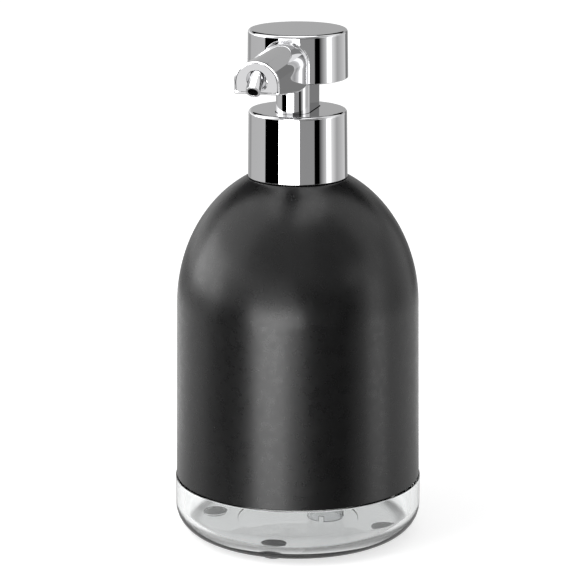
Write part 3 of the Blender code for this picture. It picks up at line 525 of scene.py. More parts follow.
def thread_ridge(name, root, crest, start_z):
    """A wedge from root to crest radius, wound up round the axis, with closed ends."""
    deselect_all()
    bpy.ops.mesh.primitive_plane_add(size=THREAD_ROOT, location=(0, 0, 0))
    ridge = name_piece(name)
    for vertex in ridge.data.vertices:
        half = THREAD_ROOT / 2 if vertex.co.x < 0 else THREAD_CREST / 2
        radius = root if vertex.co.x < 0 else crest
        vertex.co = (radius, 0, start_z + math.copysign(half, vertex.co.y))
    apply_modifier(
        ridge,
        "SCREW",
        angle=math.tau * THREAD_TURNS,
        screw_offset=THREAD_PITCH * THREAD_TURNS,
        steps=THREAD_STEPS,
        render_steps=THREAD_STEPS,
    )
    bpy.ops.object.mode_set(mode="EDIT")
    merge_doubles()
    select_open_edges()
    bpy.ops.mesh.edge_face_add()
    close_mesh()
    return ridge


neck_low, neck_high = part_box("bottle_neck")
neck_outline = rounded(
    (NECK_RADIUS - NECK_WALL, neck_low.z, EDGE_ROUNDING),
    (NECK_RADIUS - NECK_WALL, neck_high.z, EDGE_ROUNDING),
    (NECK_RADIUS, neck_high.z, EDGE_ROUNDING),
    (NECK_RADIUS, neck_low.z, EDGE_ROUNDING),
)
bottle_neck = turned("threaded_neck", neck_outline, ring=True)
thread_start = neck_high.z - THREAD_MARGIN - THREAD_ROOT / 2 - THREAD_PITCH * THREAD_TURNS
ridge_root = NECK_RADIUS - NECK_WALL / 3
neck_ridge = thread_ridge("neck_ridge", ridge_root, NECK_RADIUS + THREAD_DEPTH, thread_start)
fuse_with(bottle_neck, neck_ridge)
finish_piece(bottle_neck, clear_acrylic, "clear_plastic", "bottle", "bottle_neck")

# %% [markdown]
# ## The rubber pads
#
# Four small discs with a soft edge. One is enough to model: the others are the same outline
# moved to their own pockets, each with its own mesh.

# %% Turn the pads
def rounded_disc(radius, low, high, rounding):
    """Outline of a solid disc with both edges of its rim rounded."""
    return rounded((0, low), (radius, low, rounding), (radius, high, rounding), (0, high))


for node in PAD_NODES:
    low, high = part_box(node)
    pad_outline = rounded_disc(PAD_RADIUS, low.z, high.z, PAD_ROUNDING)
    pad = turned(node + "_disc", pad_outline, steps=PAD_STEPS)
    shift_piece(pad, ((low.x + high.x) / 2, (low.y + high.y) / 2, 0))
    finish_piece(pad, grey_rubber, "grey_rubber", "bottle", node)

# %% [markdown]
# ## The strainer and the dip tube
#
# Soap is drawn from the very bottom, through a cup with notches in its rim. The tube is pushed
# into it from above. A Bezier curve with a bevel makes the tube, and Solidify gives it its bore.

# %% Turn the strainer and notch its rim
STRAINER_RADIUS = 0.00685
STRAINER_WALL = 0.0012
STRAINER_CUP_DEPTH = 0.0040
STRAINER_SOCKET_DEPTH = 0.0060
STRAINER_NOTCH = 0.0020
SMALL_STEPS = 96
TUBE_RADIUS = 0.0025
TUBE_WALL = 0.0009

strainer_low, strainer_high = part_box("strainer_foot")
strainer_x = strainer_high.x - STRAINER_RADIUS
strainer_y = (strainer_low.y + strainer_high.y) / 2
tube_bore = TUBE_RADIUS - TUBE_WALL
socket = TUBE_RADIUS + FIT_GAP
strainer = turned(
    "strainer_cup",
    rounded(
        (socket, strainer_high.z, EDGE_ROUNDING),
        (STRAINER_RADIUS, strainer_high.z, EDGE_ROUNDING),
        (STRAINER_RADIUS, strainer_low.z, EDGE_ROUNDING / 2),
        (STRAINER_RADIUS - STRAINER_WALL, strainer_low.z, EDGE_ROUNDING / 2),
        (STRAINER_RADIUS - STRAINER_WALL, strainer_low.z + STRAINER_CUP_DEPTH),
        (tube_bore, strainer_low.z + STRAINER_CUP_DEPTH),
        (tube_bore, strainer_high.z - STRAINER_SOCKET_DEPTH),
        (socket, strainer_high.z - STRAINER_SOCKET_DEPTH),
    ),
    ring=True,
    steps=SMALL_STEPS,
)
shift_piece(strainer, (strainer_x, strainer_y, 0))
for length, width in ((4 * STRAINER_RADIUS, STRAINER_NOTCH), (STRAINER_NOTCH, 4 * STRAINER_RADIUS)):
    deselect_all()
    bpy.ops.mesh.primitive_cube_add(size=1, location=(strainer_x, strainer_y, strainer_low.z))
    bpy.context.object.scale = (length, width, 2 * STRAINER_NOTCH)
    cut_with(strainer, bpy.context.object)
finish_piece(strainer, frosted, "frosted_plastic", "pump", "strainer_foot")

# %% Lead the dip tube down to the strainer
TUBE_SIDES = 10
TUBE_RESOLUTION = 24

tube_low, tube_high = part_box("dip_tube")
rise = tube_high.z - tube_low.z
deselect_all()
bpy.ops.curve.primitive_bezier_curve_add(location=(0, 0, 0))
tube = name_piece("soap_dip_tube")
low_end, high_end = tube.data.splines[0].bezier_points
low_end.co = (strainer_x, strainer_y, tube_low.z)
high_end.co = (0, 0, tube_high.z)
for end, lift in ((low_end, rise / 2), (high_end, -rise / 2)):
    end.handle_left_type = end.handle_right_type = "FREE"
    end.handle_left = end.co - Vector((0, 0, rise / 2))
    end.handle_right = end.co + Vector((0, 0, lift))
tube.data.bevel_depth = TUBE_RADIUS
tube.data.bevel_resolution = TUBE_SIDES
tube.data.resolution_u = TUBE_RESOLUTION
activate(tube)
bpy.ops.object.convert(target="MESH")
tube = bpy.context.object
apply_modifier(tube, "SOLIDIFY", thickness=TUBE_WALL, offset=-1)
finish_piece(tube, frosted, "frosted_plastic", "pump", "dip_tube")

# %% [markdown]
# ## The collar
#
# A chromed drum that hides the screw cap. Its sides lean in by a third of a millimetre, and the
# slot in its flat top has round ends. A slot-shaped tool is a cylinder whose two halves are
# pulled apart, which leaves straight sides between two exact half circles.

# %% Helper for pieces with an obround section
OBROUND_STEPS = 90


def obround_block(name, half_width, half_length, low, high):
    """A cylinder pulled apart along Y."""
    deselect_all()
    bpy.ops.mesh.primitive_cylinder_add(
        vertices=OBROUND_STEPS, radius=half_width, depth=high - low, location=(0, 0, 0)
    )
    block = name_piece(name)
    bpy.ops.object.mode_set(mode="EDIT")
    for side in (-1, 1):
        bpy.ops.mesh.select_all(action="DESELECT")
        bpy.ops.object.mode_set(mode="OBJECT")
        for vertex in block.data.vertices:
            vertex.select = vertex.co.y * side > 0
        bpy.ops.object.mode_set(mode="EDIT")
        bpy.ops.transform.translate(value=(0, side * (half_length - half_width), 0))
    bpy.ops.object.mode_set(mode="OBJECT")
    shift_piece(block, (0, 0, (low + high) / 2))
    return block


# %% Turn the collar and cut its slot
COLLAR_WALL = 0.0012
COLLAR_TAPER = 0.0003
COLLAR_TOP = 0.0013
COLLAR_EDGE = 0.0012
STEM_HALF_WIDTH = 0.00615
STEM_HALF_LENGTH = 0.0123
SLIDE_CLEARANCE = 0.00035

collar_low, collar_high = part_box("collar")
collar_radius = collar_high.x
collar_bore = collar_radius - COLLAR_WALL
collar = turned(
    "chromed_collar",
    rounded(
        (0, collar_high.z),
        (collar_radius - COLLAR_TAPER, collar_high.z, COLLAR_EDGE),
        (collar_radius, collar_low.z, EDGE_ROUNDING),
        (collar_bore, collar_low.z, EDGE_ROUNDING),
        (collar_bore, collar_high.z - COLLAR_TOP, EDGE_ROUNDING),
        (0, collar_high.z - COLLAR_TOP),
    ),
)
slot_tool = obround_block(
    "slot_tool",
    STEM_HALF_WIDTH + SLIDE_CLEARANCE,
    STEM_HALF_LENGTH + SLIDE_CLEARANCE,
    collar_high.z - 2 * COLLAR_TOP,
    collar_high.z + COLLAR_TOP,
)
cut_with(collar, slot_tool)
finish_piece(collar, chrome, "chrome", "pump", "collar")

# %% [markdown]
# ## The column
#
# The column runs in the collar's slot and keeps the head from turning. It is a tube with the
# slot's section, and a disc at its top holds it in the press head, out of sight.

# %% Build the column
STEM_WALL = 0.0009
STEM_FLANGE = 0.0015

stem_low, stem_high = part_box("stem_sleeve")
stem = obround_block("column_sleeve", STEM_HALF_WIDTH, STEM_HALF_LENGTH, stem_low.z, stem_high.z)
flange_low = stem_high.z - STEM_FLANGE
flange = turned("flange", rounded_disc(stem_high.x, flange_low, stem_high.z, EDGE_ROUNDING))
fuse_with(stem, flange)
stem_bore = obround_block(
    "stem_bore",
    STEM_HALF_WIDTH - STEM_WALL,
    STEM_HALF_LENGTH - STEM_WALL,
    stem_low.z - STEM_FLANGE,
    stem_high.z + STEM_FLANGE,
)
cut_with(stem, stem_bore)
finish_piece(stem, chrome, "chrome", "press", "stem_sleeve")

# %% [markdown]
# ## The press head
#
# A drum and a spout arm in one piece. The arm has a D section: flat below, arched above. Where it
# leaves the drum it flares out into a fine raised frame. A loft would need a separate loop
# of points for each section. A grid bent round the arm does the same with one rule: its columns run
# round the D, and its rows run out along the arm.

# %% The arm's sizes
HEAD_TAPER = 0.00025
HEAD_EDGE = 0.0012
HEAD_WALL = 0.0018
HEAD_ROOF = 0.0024
ARM_HALF_WIDTH = 0.0080
ARM_REACH = 0.0520
ARM_DIP = 0.0007
ARM_DIP_REACH = 0.0210
ARM_LEVEL_REACH = 0.0270
ARM_ROOT_HEIGHT = 0.0151
ARM_TIP_RISE = 0.0025
ARM_TIP_HEIGHT = 0.01165
ARM_LEAN = math.tan(math.radians(7))
ARM_WALL = 0.0014
ARM_CORNER = 0.0005
ARM_RIM = 0.0006
SEAT_DEPTH = 0.0016
TIP_ROUNDING = 0.00025

head_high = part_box("press_head")[1]
HEAD_RADIUS = head_high.x
HEAD_BOTTOM = stem_high.z - STEM_FLANGE - FIT_GAP
HEAD_TOP = head_high.z
LEAN_DATUM = HEAD_BOTTOM + ARM_TIP_RISE


def arm_bottom(reach):
    """Height of the arm's underside over the drum's bottom."""
    dip_share = (reach - HEAD_RADIUS) / (ARM_DIP_REACH - HEAD_RADIUS)
    rise_share = (reach - ARM_LEVEL_REACH) / (ARM_REACH - ARM_LEVEL_REACH)
    dip = ARM_DIP * min(max(dip_share, 0.0), 1.0)
    return (ARM_TIP_RISE + ARM_DIP) * max(rise_share, 0.0) - dip


def arm_top(reach):
    share = (reach - HEAD_RADIUS) / (ARM_REACH - HEAD_RADIUS)
    return ARM_ROOT_HEIGHT + (ARM_TIP_RISE + ARM_TIP_HEIGHT - ARM_ROOT_HEIGHT) * share


# %% The D section, as a list of places round it
BOTTOM_STEPS = 8
CORNER_STEPS = 6
SIDE_STEPS = 5
ARCH_STEPS = 56


def d_half(low, top, half, growth, corner):
    """Right half of a D, from the middle of its flat side to its crown. Growth starts at z = 0."""
    points = [((half - corner) * k / BOTTOM_STEPS, low) for k in range(BOTTOM_STEPS)]
    for k in range(CORNER_STEPS + 1):
        angle = math.pi / 2 * k / CORNER_STEPS
        points.append((half - corner + corner * math.sin(angle), low + corner - corner * math.cos(angle)))
    ledge = max(0.0, low + corner)
    points.append((half, ledge))
    spring_line = top - ARM_HALF_WIDTH
    for k in range(SIDE_STEPS):
        points.append((half + growth, ledge + (spring_line - ledge) * k / SIDE_STEPS))
    for k in range(ARCH_STEPS // 2 + 1):
        angle = math.pi * k / ARCH_STEPS
        points.append(((half + growth) * math.cos(angle), spring_line + (half + growth) * math.sin(angle)))
    return points


def d_outline(low, top, half, growth, corner):
    right = d_half(low, top, half, growth, corner)
    left = [(-x, z) for x, z in reversed(right[1:-1])]
    return right + left


# %% Rows along the arm: the frame, the flare, the shaft and the rim
FRAME_GROWTH = 0.00072
FRAME_DEPTH = 0.00022
FRAME_BEAD = 0.00014
FLARE_GROWTH = FRAME_GROWTH - 2 * FRAME_BEAD
FLARE_LENGTH = 0.0019
FLARE_STEPS = 14
SHAFT_STEPS = 8
EDGE_STEPS = 5
ROOT_DEPTH = 0.0010

# A row is its reach on the arm's middle line, its growth, and its inset at the tip
arm_rows = [(HEAD_RADIUS - ROOT_DEPTH, FRAME_GROWTH, 0.0)]
for k in range(2 * EDGE_STEPS + 1):
    angle = math.pi / 2 * k / EDGE_STEPS
    bead_reach = HEAD_RADIUS + FRAME_DEPTH - FRAME_BEAD * (1 - math.sin(angle))
    arm_rows.append((bead_reach, FRAME_GROWTH - FRAME_BEAD * (1 - math.cos(angle)), 0.0))
flare_start = arm_rows[-1][0]
for k in range(1, FLARE_STEPS + 1):
    angle = math.pi / 2 * k / FLARE_STEPS
    reach = flare_start + (FLARE_LENGTH - FRAME_DEPTH) * (1 - math.cos(angle))
    arm_rows.append((reach, FLARE_GROWTH * (1 - math.sin(angle)), 0.0))
shaft_start = arm_rows[-1][0]
shaft_end = ARM_REACH - 3 * TIP_ROUNDING
for k in range(1, SHAFT_STEPS + 1):
    arm_rows.append((shaft_start + (shaft_end - shaft_start) * k / SHAFT_STEPS, 0.0, 0.0))
for k in range(EDGE_STEPS + 1):
    angle = math.pi / 2 * k / EDGE_STEPS
    arm_rows.append(
        (ARM_REACH - TIP_ROUNDING * (1 - math.sin(angle)), 0.0, TIP_ROUNDING * (1 - math.cos(angle)))
    )
rim_rounding = TIP_ROUNDING / 3
arm_rows.append((ARM_REACH, 0.0, ARM_RIM - rim_rounding))
arm_rows.append((ARM_REACH - rim_rounding, 0.0, ARM_RIM))
arm_rows.append((ARM_REACH - SEAT_DEPTH, 0.0, ARM_RIM))

# %% Bend the grid round the arm
def arm_point(x, z, reach):
    """Place a point of a D on the arm. Near the drum the rows follow its round side."""
    blend = min(max((reach - HEAD_RADIUS - FLARE_LENGTH) / FLARE_LENGTH, 0.0), 1.0)
    hollow = HEAD_RADIUS - math.sqrt(HEAD_RADIUS**2 - x * x)
    out = reach - (1 - blend) * hollow
    lean_share = min(max((reach - ARM_LEVEL_REACH) / (ARM_REACH - ARM_LEVEL_REACH), 0.0), 1.0)
    y = -out - lean_share * (HEAD_BOTTOM + z - LEAN_DATUM) * ARM_LEAN
    return Vector((x, y, HEAD_BOTTOM + z))


def arm_solid(name, rows):
    """One D outline for each row, joined into a closed skin."""
    sections = []
    for reach, growth, inset in rows:
        low = arm_bottom(reach) + inset
        corner = ARM_CORNER + inset
        outline = d_outline(low, arm_top(reach), ARM_HALF_WIDTH - inset, growth, corner)
        sections.append([arm_point(x, z, reach) for x, z in outline])
    columns = len(sections[0])
    deselect_all()
    bpy.ops.mesh.primitive_grid_add(
        x_subdivisions=columns, y_subdivisions=len(sections) - 1, size=1, location=(0, 0, 0)
    )
    skin_piece = name_piece(name)
    for k, vertex in enumerate(skin_piece.data.vertices):
        row, column = divmod(k, columns + 1)
        vertex.co = sections[row][column % columns]
    bpy.ops.object.mode_set(mode="EDIT")
    merge_doubles()
    select_open_edges()
    bpy.ops.mesh.edge_face_add()
    close_mesh()
    return skin_piece


# %% Fuse the arm to the drum and hollow both out
head_bore = HEAD_RADIUS - HEAD_TAPER - HEAD_WALL
roof_z = HEAD_TOP - HEAD_ROOF
press_head = turned(
    "chromed_press_head",
    rounded(
        (0, HEAD_TOP),
        (HEAD_RADIUS - HEAD_TAPER, HEAD_TOP, HEAD_EDGE),
        (HEAD_RADIUS, HEAD_BOTTOM, EDGE_ROUNDING),
        (head_bore, HEAD_BOTTOM, EDGE_ROUNDING),
        (head_bore, roof_z, EDGE_ROUNDING),
        (0, roof_z),
    ),
)
fuse_with(press_head, arm_solid("arm", arm_rows))
channel_ends = (head_bore - HEAD_WALL, ARM_LEVEL_REACH, ARM_REACH - SEAT_DEPTH / 2)
channel_rows = [(reach, 0.0, ARM_WALL) for reach in channel_ends]
cut_with(press_head, arm_solid("channel", channel_rows))
finish_piece(press_head, chrome, "chrome", "press", "press_head")

# %% [markdown]
# ## The nozzle plate
#
# A D-shaped plate is pressed into the arm's tip, with a hair-thin joint all round. Foam leaves
# through a short slanted tube that stands in a round recess. The recess is a boss behind the plate,
# drilled out, so that nobody sees into the arm.

# %% Build the plate
PLATE_THICKNESS = 0.0013
PLATE_JOINT = 0.00014
PLATE_EDGE = 0.0001
PLATE_SUNK = 0.00005
RECESS_RADIUS = 0.0034
RECESS_DEPTH = 0.0024
RECESS_WALL = 0.0005
NOZZLE_HEIGHT = 0.00505
NOZZLE_RADIUS = 0.00255
NOZZLE_BORE = 0.00175
NOZZLE_TILT = math.radians(40)
NOZZLE_OUTSIDE = 0.0054
NOZZLE_INSIDE = 0.0032
NOZZLE_LIP = 0.0002
LEAN_ANGLE = math.atan(ARM_LEAN)

plate_front = ARM_REACH - PLATE_SUNK
plate_inset = ARM_RIM + PLATE_JOINT
plate = arm_solid(
    "tip_plate",
    [
        (plate_front - PLATE_THICKNESS, 0.0, plate_inset),
        (plate_front - PLATE_EDGE, 0.0, plate_inset),
        (plate_front, 0.0, plate_inset + PLATE_EDGE),
    ],
)
crossing = Vector((0, -ARM_REACH - NOZZLE_HEIGHT * ARM_LEAN, LEAN_DATUM + NOZZLE_HEIGHT))


def slanted(piece, tilt):
    """Lay an upright turned piece along the nozzle's way: its Z axis then points out and down."""
    activate(piece)
    piece.rotation_euler.x = math.pi / 2 + tilt
    piece.location = crossing
    bpy.ops.object.transform_apply(location=True, rotation=True, scale=False)
    return piece


def bar(name, radius, low, high, steps=PAD_STEPS):
    return turned(name, [(0, low), (radius, low), (radius, high), (0, high)], steps=steps)


boss_radius = RECESS_RADIUS + RECESS_WALL
boss_end = -RECESS_DEPTH - RECESS_WALL
fuse_with(plate, slanted(bar("boss", boss_radius, boss_end, -PLATE_THICKNESS / 2), LEAN_ANGLE))
recess_outline = rounded(
    (0, -RECESS_DEPTH),
    (RECESS_RADIUS, -RECESS_DEPTH),
    (RECESS_RADIUS, -PLATE_EDGE * 2),
    (RECESS_RADIUS + PLATE_EDGE * 3, PLATE_EDGE),
    (0, PLATE_EDGE),
)
cut_with(plate, slanted(turned("recess", recess_outline, steps=SMALL_STEPS), LEAN_ANGLE))
slot_radius = NOZZLE_RADIUS + PLATE_JOINT
slot_tool = bar("slot", slot_radius, -NOZZLE_INSIDE, NOZZLE_OUTSIDE, SMALL_STEPS)
cut_with(plate, slanted(slot_tool, NOZZLE_TILT))
finish_piece(plate, chrome, "chrome", "press", "nozzle_plate")

# %% [markdown]
# ## The nozzle tube
#
# The tube is turned upright, where its outline is easy to read, and laid along its slant at the
# end. Its bore isn't plated, and no light reaches it, so its faces get painted shade: a near-black
# finish of their own.

# %% Turn the nozzle and lay it in place
nozzle = turned(
    "slanted_nozzle",
    rounded(
        (NOZZLE_RADIUS, NOZZLE_OUTSIDE, NOZZLE_LIP),
        (NOZZLE_RADIUS, -NOZZLE_INSIDE, NOZZLE_LIP),
        (NOZZLE_BORE, -NOZZLE_INSIDE, NOZZLE_LIP),
        (NOZZLE_BORE, NOZZLE_OUTSIDE, NOZZLE_LIP),
    ),
    ring=True,
    steps=SMALL_STEPS,
)
nozzle.data.materials.append(chrome)
nozzle.data.materials.append(painted_shade_bore)
# The bore's faces get the near-black painted shade.
for face in nozzle.data.polygons:
    in_bore = math.hypot(face.center.x, face.center.y) < NOZZLE_BORE + NOZZLE_LIP / 4
    face.material_index = 1 if in_bore else 0
slanted(nozzle, NOZZLE_TILT)
finish_piece(nozzle, chrome, "chrome", "press", "nozzle_tube")

# %% [markdown]
# ## The pump inside
#
# None of these pieces shows while the dispenser is whole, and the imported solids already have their
# true shapes. Each gets a smooth copy: doubles merged, edges softened by a small bevel, and
# the shading smoothed, so it looks moulded and not faceted when the pump is taken apart.

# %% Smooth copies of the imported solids
SOFT_BEVEL = 0.00012
BEVEL_ANGLE = math.radians(50)


def smooth_copy(node, name, finish, slot, body):
    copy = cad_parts[node].copy()
    copy.data = copy.data.copy()
    copy.name = copy.data.name = name
    for key in list(copy.keys()):
        del copy[key]
    copy.parent = None
    bpy.context.scene.collection.objects.link(copy)
    activate(copy)
    bpy.ops.object.mode_set(mode="EDIT")
    merge_doubles()
    bpy.ops.mesh.tris_convert_to_quads()
    bpy.ops.object.mode_set(mode="OBJECT")
    copy.data.materials.clear()
    limit = {"limit_method": "ANGLE", "angle_limit": BEVEL_ANGLE}
    apply_modifier(copy, "BEVEL", width=SOFT_BEVEL, segments=2, **limit)
    finish_piece(copy, finish, slot, body, node)
    return copy


INSIDE = (
    ("neck_gasket", "soft_gasket", soft_seal, "soft_seal", "gasket"),
    ("closure_nut", "screw_cap", white_moulded, "white_plastic", "pump"),
    ("pump_housing", "pump_cylinder", white_moulded, "white_plastic", "pump"),
    ("foam_core", "foam_channel", white_moulded, "white_plastic", "press"),
    ("mesh_ring", "mesh_spacer", white_moulded, "white_plastic", "press"),
    ("mesh_screen_lower", "lower_mesh", white_moulded, "white_plastic", "press"),
    ("mesh_screen_upper", "upper_mesh", white_moulded, "white_plastic", "press"),
    ("piston_rod", "hollow_piston_rod", white_moulded, "white_plastic", "press"),
    ("air_piston", "wide_air_piston", white_moulded, "white_plastic", "press"),
    ("air_valve", "air_valve_ring", soft_seal, "soft_seal", "press"),
    ("soap_piston_seal", "soap_seal", soft_seal, "soft_seal", "press"),
    ("inlet_ball", "inlet_valve_ball", drawn_steel, "spring_steel", "inlet_ball"),
    ("outlet_ball", "outlet_valve_ball", drawn_steel, "spring_steel", "outlet_ball"),
)
for row in INSIDE:
    smooth_copy(*row)

# %% [markdown]
# ## The return spring
#
# The spring is a helix. It stands on a ledge of the pump and its top goes down with the rod, so it
# has to shorten. It rides with the rod. It is 18 mm long and the stroke is 11 mm, so 7 of 18 parts
# are left.

# %% Wind the spring
SPRING_WIRE = 0.0004
SPRING_TURNS = 7
SPRING_TURN_STEPS = 32
WIRE_SIDES = 12

spring_low, spring_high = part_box("return_spring")
coil_radius = spring_high.x - SPRING_WIRE
deselect_all()
bpy.ops.mesh.primitive_circle_add(
    vertices=WIRE_SIDES, radius=SPRING_WIRE, location=(0, 0, 0), rotation=(math.pi / 2, 0, 0)
)
bpy.ops.object.transform_apply(location=True, rotation=True, scale=True)
spring = name_piece("coiled_return_spring")
shift_piece(spring, (coil_radius, 0, spring_low.z + SPRING_WIRE))
apply_modifier(
    spring,
    "SCREW",
    angle=math.tau * SPRING_TURNS,
    screw_offset=spring_high.z - spring_low.z - 2 * SPRING_WIRE,
    steps=SPRING_TURNS * SPRING_TURN_STEPS,
    render_steps=SPRING_TURNS * SPRING_TURN_STEPS,
)
bpy.ops.object.mode_set(mode="EDIT")
select_open_edges()
bpy.ops.mesh.fill()
close_mesh()
finish_piece(spring, drawn_steel, "spring_steel", "press", "return_spring")
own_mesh(spring)

# %% [markdown]
# ## The studio
#
# Chrome shows its surroundings, so the studio is part of its look. The floor is light grey paper
# that takes the shadow, with a glow that brings it up to white where the camera sees it. Rays
# that come through the clear foot see the glow too, apart from a painted shadow: a dark ring in
# the glow under the foot's rim, standing in for the shade beneath the bottle.

# %% Floor
FLOOR_SIZE = 6.0
FLOOR_GREY = 0.82
FLOOR_LIFT = 0.62
SEEN_THROUGH = 0.93
# Painted shadow: a dark ring in the floor's glow, seen only through the clear foot, under its rim.
PAINTED_RIM_SHADOW_START = 0.0375
PAINTED_RIM_SHADOW_END = 0.0450
PAINTED_RIM_SHADOW_DARKEST = (0.3, 0.8)


def math_node(tree, operation, first, second):
    """A math node fed by two sockets, or by a socket and a number."""
    node = tree.nodes.new("ShaderNodeMath")
    node.operation = operation
    tree.links.new(first, node.inputs[0])
    if isinstance(second, float):
        node.inputs[1].default_value = second
    else:
        tree.links.new(second, node.inputs[1])
    return node.outputs["Value"]


def painted_rim_shadow(tree):
    """Painted shadow under the foot's rim: how much of the floor's glow shows through the foot, by the
    distance from the axis.
    """
    spot = tree.nodes.new("ShaderNodeTexCoord")
    distance = tree.nodes.new("ShaderNodeVectorMath")
    distance.operation = "LENGTH"
    tree.links.new(spot.outputs["Object"], distance.inputs[0])
    ramp = tree.nodes.new("ShaderNodeValToRGB")
    stops = ramp.color_ramp.elements
    for stop, position in zip(stops, (PAINTED_RIM_SHADOW_START, PAINTED_RIM_SHADOW_END)):
        stop.position = position
        stop.color = (SEEN_THROUGH, SEEN_THROUGH, SEEN_THROUGH, 1)
    for share in PAINTED_RIM_SHADOW_DARKEST:
        stops.new(PAINTED_RIM_SHADOW_START + share * (PAINTED_RIM_SHADOW_END - PAINTED_RIM_SHADOW_START)).color = (0, 0, 0, 1)
    tree.links.new(distance.outputs["Value"], ramp.inputs["Fac"])
    return ramp.outputs["Color"]


deselect_all()
bpy.ops.mesh.primitive_plane_add(size=FLOOR_SIZE, location=(0, 0, 0))
floor = name_piece("studio_floor")
floor_paper = bpy.data.materials.new("white_floor_paper")
floor_paper.use_nodes = True
tree = floor_paper.node_tree
floor_shader = tree.nodes["Principled BSDF"]
floor_shader.inputs["Base Color"].default_value = (FLOOR_GREY, FLOOR_GREY, FLOOR_GREY, 1)
floor_shader.inputs["Roughness"].default_value = 0.9
floor_shader.inputs["Specular IOR Level"].default_value = 0.0
floor_shader.inputs["Emission Color"].default_value = (1, 1, 1, 1)
rays = tree.nodes.new("ShaderNodeLightPath").outputs
# The glow seen through the clear foot is dimmed by the painted rim shadow.
dimmed = math_node(tree, "MULTIPLY", rays["Is Transmission Ray"], painted_rim_shadow(tree))
either = math_node(tree, "MAXIMUM", rays["Is Camera Ray"], dimmed)
glow = math_node(tree, "MULTIPLY", either, FLOOR_LIFT)
tree.links.new(glow, floor_shader.inputs["Emission Strength"])
floor.data.materials.append(floor_paper)
floor.visible_glossy = False
print("floor:", FLOOR_SIZE, "m wide")

# %% [markdown]
# ### The world
#
# The backdrop of a studio is white paper. The camera, mirrors and clear plastic see it white,
# while the light it sheds on the matt pieces is softer. The Light Path node tells them apart.

# %% World: white to the eye, and a soft even light on the object
WORLD_LIGHT = 0.55

world = bpy.data.worlds.new("studio")
bpy.context.scene.world = world
world.use_nodes = True
tree = world.node_tree
background = tree.nodes["Background"]
rays = tree.nodes.new("ShaderNodeLightPath").outputs
seen = math_node(tree, "MAXIMUM", rays["Is Camera Ray"], rays["Is Transmission Ray"])
mirrored = math_node(tree, "MAXIMUM", seen, rays["Is Glossy Ray"])
strength = tree.nodes.new("ShaderNodeMapRange")
strength.inputs["To Min"].default_value = WORLD_LIGHT
strength.inputs["To Max"].default_value = 1.0
tree.links.new(mirrored, strength.inputs["Value"])
background.inputs["Color"].default_value = (1, 1, 1, 1)
tree.links.new(strength.outputs["Result"], background.inputs["Strength"])
print("world light on matt pieces:", WORLD_LIGHT)

# %% [markdown]
# ### The cards
#
# A photographer sets light and dark cards round a chromed piece, and its bands are their mirror
# images. Here they are rings about the object, one over another from floor to ceiling. Only
# reflections and clear plastic see them. A ramp round each ring stands for card beside card.

# %% Rings of cards, seen by reflections only
RING_RADIUS = 3.0
RING_CENTRE = 0.15
RING_STEPS = 6
WHITE_CARD = 6.5
CARD_JOINT = 0.0004

# Lowest and highest angle over the horizon, then cards: from and to in degrees to the
# camera's right, and the brightness at both ends
CARD_RINGS = {
    "floor": (
        -90,
        -20,
        (
            (-180, -60, 0.45, 0.45),
            (-60, 10, 0.85, 0.85),
            (10, 52, 0.25, 0.05),
            (52, 180, 0.45, 0.45),
        ),
    ),
    "bell": (
        -20,
        -13,
        (
            (-180, -155, 1.20, 1.00),
            (-155, -95, 1.20, 0.90),
            (-95, -70, 0.40, 0.05),
            (-70, -40, 0.00, 0.00),
            (-40, -10, 6.80, 6.80),
            (-10, 45, 0.00, 0.00),
            (45, 70, 0.05, 0.90),
            (70, 90, 2.60, 2.60),
            (90, 150, 1.00, 0.60),
            (150, 180, 0.80, 1.20),
        ),
    ),
    "chrome": (
        -13,
        -2,
        (
            (-180, -150, 0.44, 0.44),
            (-150, -136, 0.30, 0.42),
            (-136, -81, 0.52, 0.56),
            (-81, -44, 0.00, 0.00),
            (-44, 4, WHITE_CARD, WHITE_CARD),
            (4, 39, 0.31, 0.31),
            (39, 51, 0.00, 0.00),
            (51, 69, 0.06, 0.70),
            (70, 83, 1.60, 1.60),
            (83, 102, 0.90, 0.42),
            (102, 140, 0.42, 0.72),
            (140, 158, 0.22, 0.22),
            (158, 180, 0.44, 0.44),
        ),
    ),
    "horizon": (
        -2,
        12,
        (
            (-180, -120, 0.44, 1.40),
            (-120, -78, 4.00, 3.20),
            (-78, -44, 1.20, 0.40),
            (-44, -4, 1.10, 1.10),
            (-4, 41, 0.10, 0.10),
            (41, 52, 0.00, 0.00),
            (52, 70, 0.04, 0.60),
            (70, 88, 1.50, 1.50),
            (88, 104, 0.90, 0.60),
            (104, 143, 0.60, 0.70),
            (143, 158, 0.20, 0.20),
            (158, 180, 0.44, 0.44),
        ),
    ),
    "upper": (
        12,
        22,
        (
            (-180, -120, 0.44, 0.60),
            (-120, -78, 3.60, 3.00),
            (-78, -45, 1.80, 1.00),
            (-45, -4, 0.80, 0.80),
            (-4, 50, 0.30, 0.30),
            (50, 100, 1.10, 1.10),
            (100, 143, 0.60, 0.50),
            (143, 180, 0.44, 0.44),
        ),
    ),
    "high": (
        22,
        66,
        (
            (-180, -128, 0.00, 0.00),
            (-128, -60, 1.50, 1.20),
            (-60, 20, 0.50, 0.50),
            (20, 80, 0.30, 0.30),
            (80, 130, 0.90, 0.90),
            (130, 180, 0.00, 0.00),
        ),
    ),
    "ceiling": (66, 90, ((-180, 180, 2.0, 2.0),)),
}


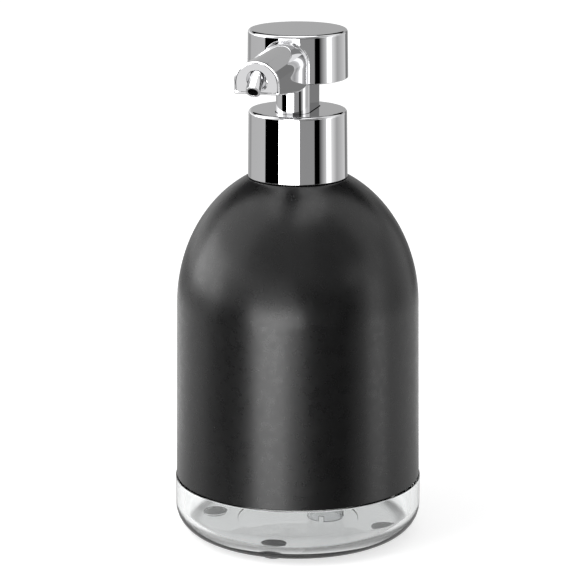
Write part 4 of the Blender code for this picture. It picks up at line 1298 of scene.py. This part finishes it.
def card_finish(name, cards):
    """Light of many shades. A radial gradient gives the angle, and a ramp the shade there."""
    finish = bpy.data.materials.new(name)
    finish.use_nodes = True
    nodes, links = finish.node_tree.nodes, finish.node_tree.links
    nodes.remove(nodes["Principled BSDF"])  # a card only shines
    place = nodes.new("ShaderNodeTexCoord")
    turn = nodes.new("ShaderNodeMapping")
    turn.inputs["Rotation"].default_value = (0, 0, math.pi / 2 - CAMERA_TURN)
    links.new(place.outputs["Object"], turn.inputs["Vector"])
    around = nodes.new("ShaderNodeTexGradient")
    around.gradient_type = "RADIAL"
    links.new(turn.outputs["Vector"], around.inputs["Vector"])
    ramp = nodes.new("ShaderNodeValToRGB")
    links.new(around.outputs["Fac"], ramp.inputs["Fac"])
    stops = ramp.color_ramp.elements
    brightest = max(max(start, end) for _, _, start, end in cards)
    for first, last, start, end in cards:
        for degrees, side, value in ((first, CARD_JOINT, start), (last, -CARD_JOINT, end)):
            shade = value / brightest
            stops.new(min(max((degrees + 180) / 360 + side, 0), 1)).color = (shade, shade, shade, 1)
    stops.remove(stops[0])
    stops.remove(stops[len(stops) - 1])
    emission = nodes.new("ShaderNodeEmission")
    emission.inputs["Strength"].default_value = brightest
    links.new(ramp.outputs["Color"], emission.inputs["Color"])
    links.new(emission.outputs["Emission"], nodes["Material Output"].inputs["Surface"])
    return finish


for name, (low, high, cards) in CARD_RINGS.items():
    angles = [math.radians(low + (high - low) * k / RING_STEPS) for k in range(RING_STEPS + 1)]
    arc = [(RING_RADIUS * math.cos(a), RING_CENTRE + RING_RADIUS * math.sin(a)) for a in angles]
    card_ring = turned(name + "_cards", arc)
    card_ring.data.materials.append(card_finish(name + "_cards", cards))
    for ray in ("camera", "diffuse", "shadow", "volume_scatter"):
        setattr(card_ring, "visible_" + ray, False)
print("rings of cards:", ", ".join(CARD_RINGS))

# %% [markdown]
# ### The lamp and the view
#
# One large soft lamp from the upper left throws the faint shadow to the right of the foot.
# Mirrors and clear plastic don't see it, since the cards give them all that they show. The
# Standard view transform keeps the white of the paper white.

# %% Lamp
KEY_POWER = 6.0
KEY_PLACE = (-0.7, -0.6, 1.0)
KEY_TARGET = (0, 0, 0.09)
KEY_SIZE = 0.8

key_data = bpy.data.lights.new("key_lamp", "AREA")
key_data.energy = KEY_POWER
key_data.size = KEY_SIZE
key = bpy.data.objects.new("key_lamp", key_data)
key.location = KEY_PLACE
key_way = Vector(KEY_TARGET) - Vector(KEY_PLACE)
key.rotation_euler = key_way.to_track_quat("-Z", "Y").to_euler()
key.visible_glossy = False
key.visible_transmission = False
bpy.context.scene.collection.objects.link(key)
print("key lamp:", KEY_POWER, "W,", round(key_way.length, 2), "m from its target")

# %% View settings
bpy.context.scene.view_settings.view_transform = "Standard"
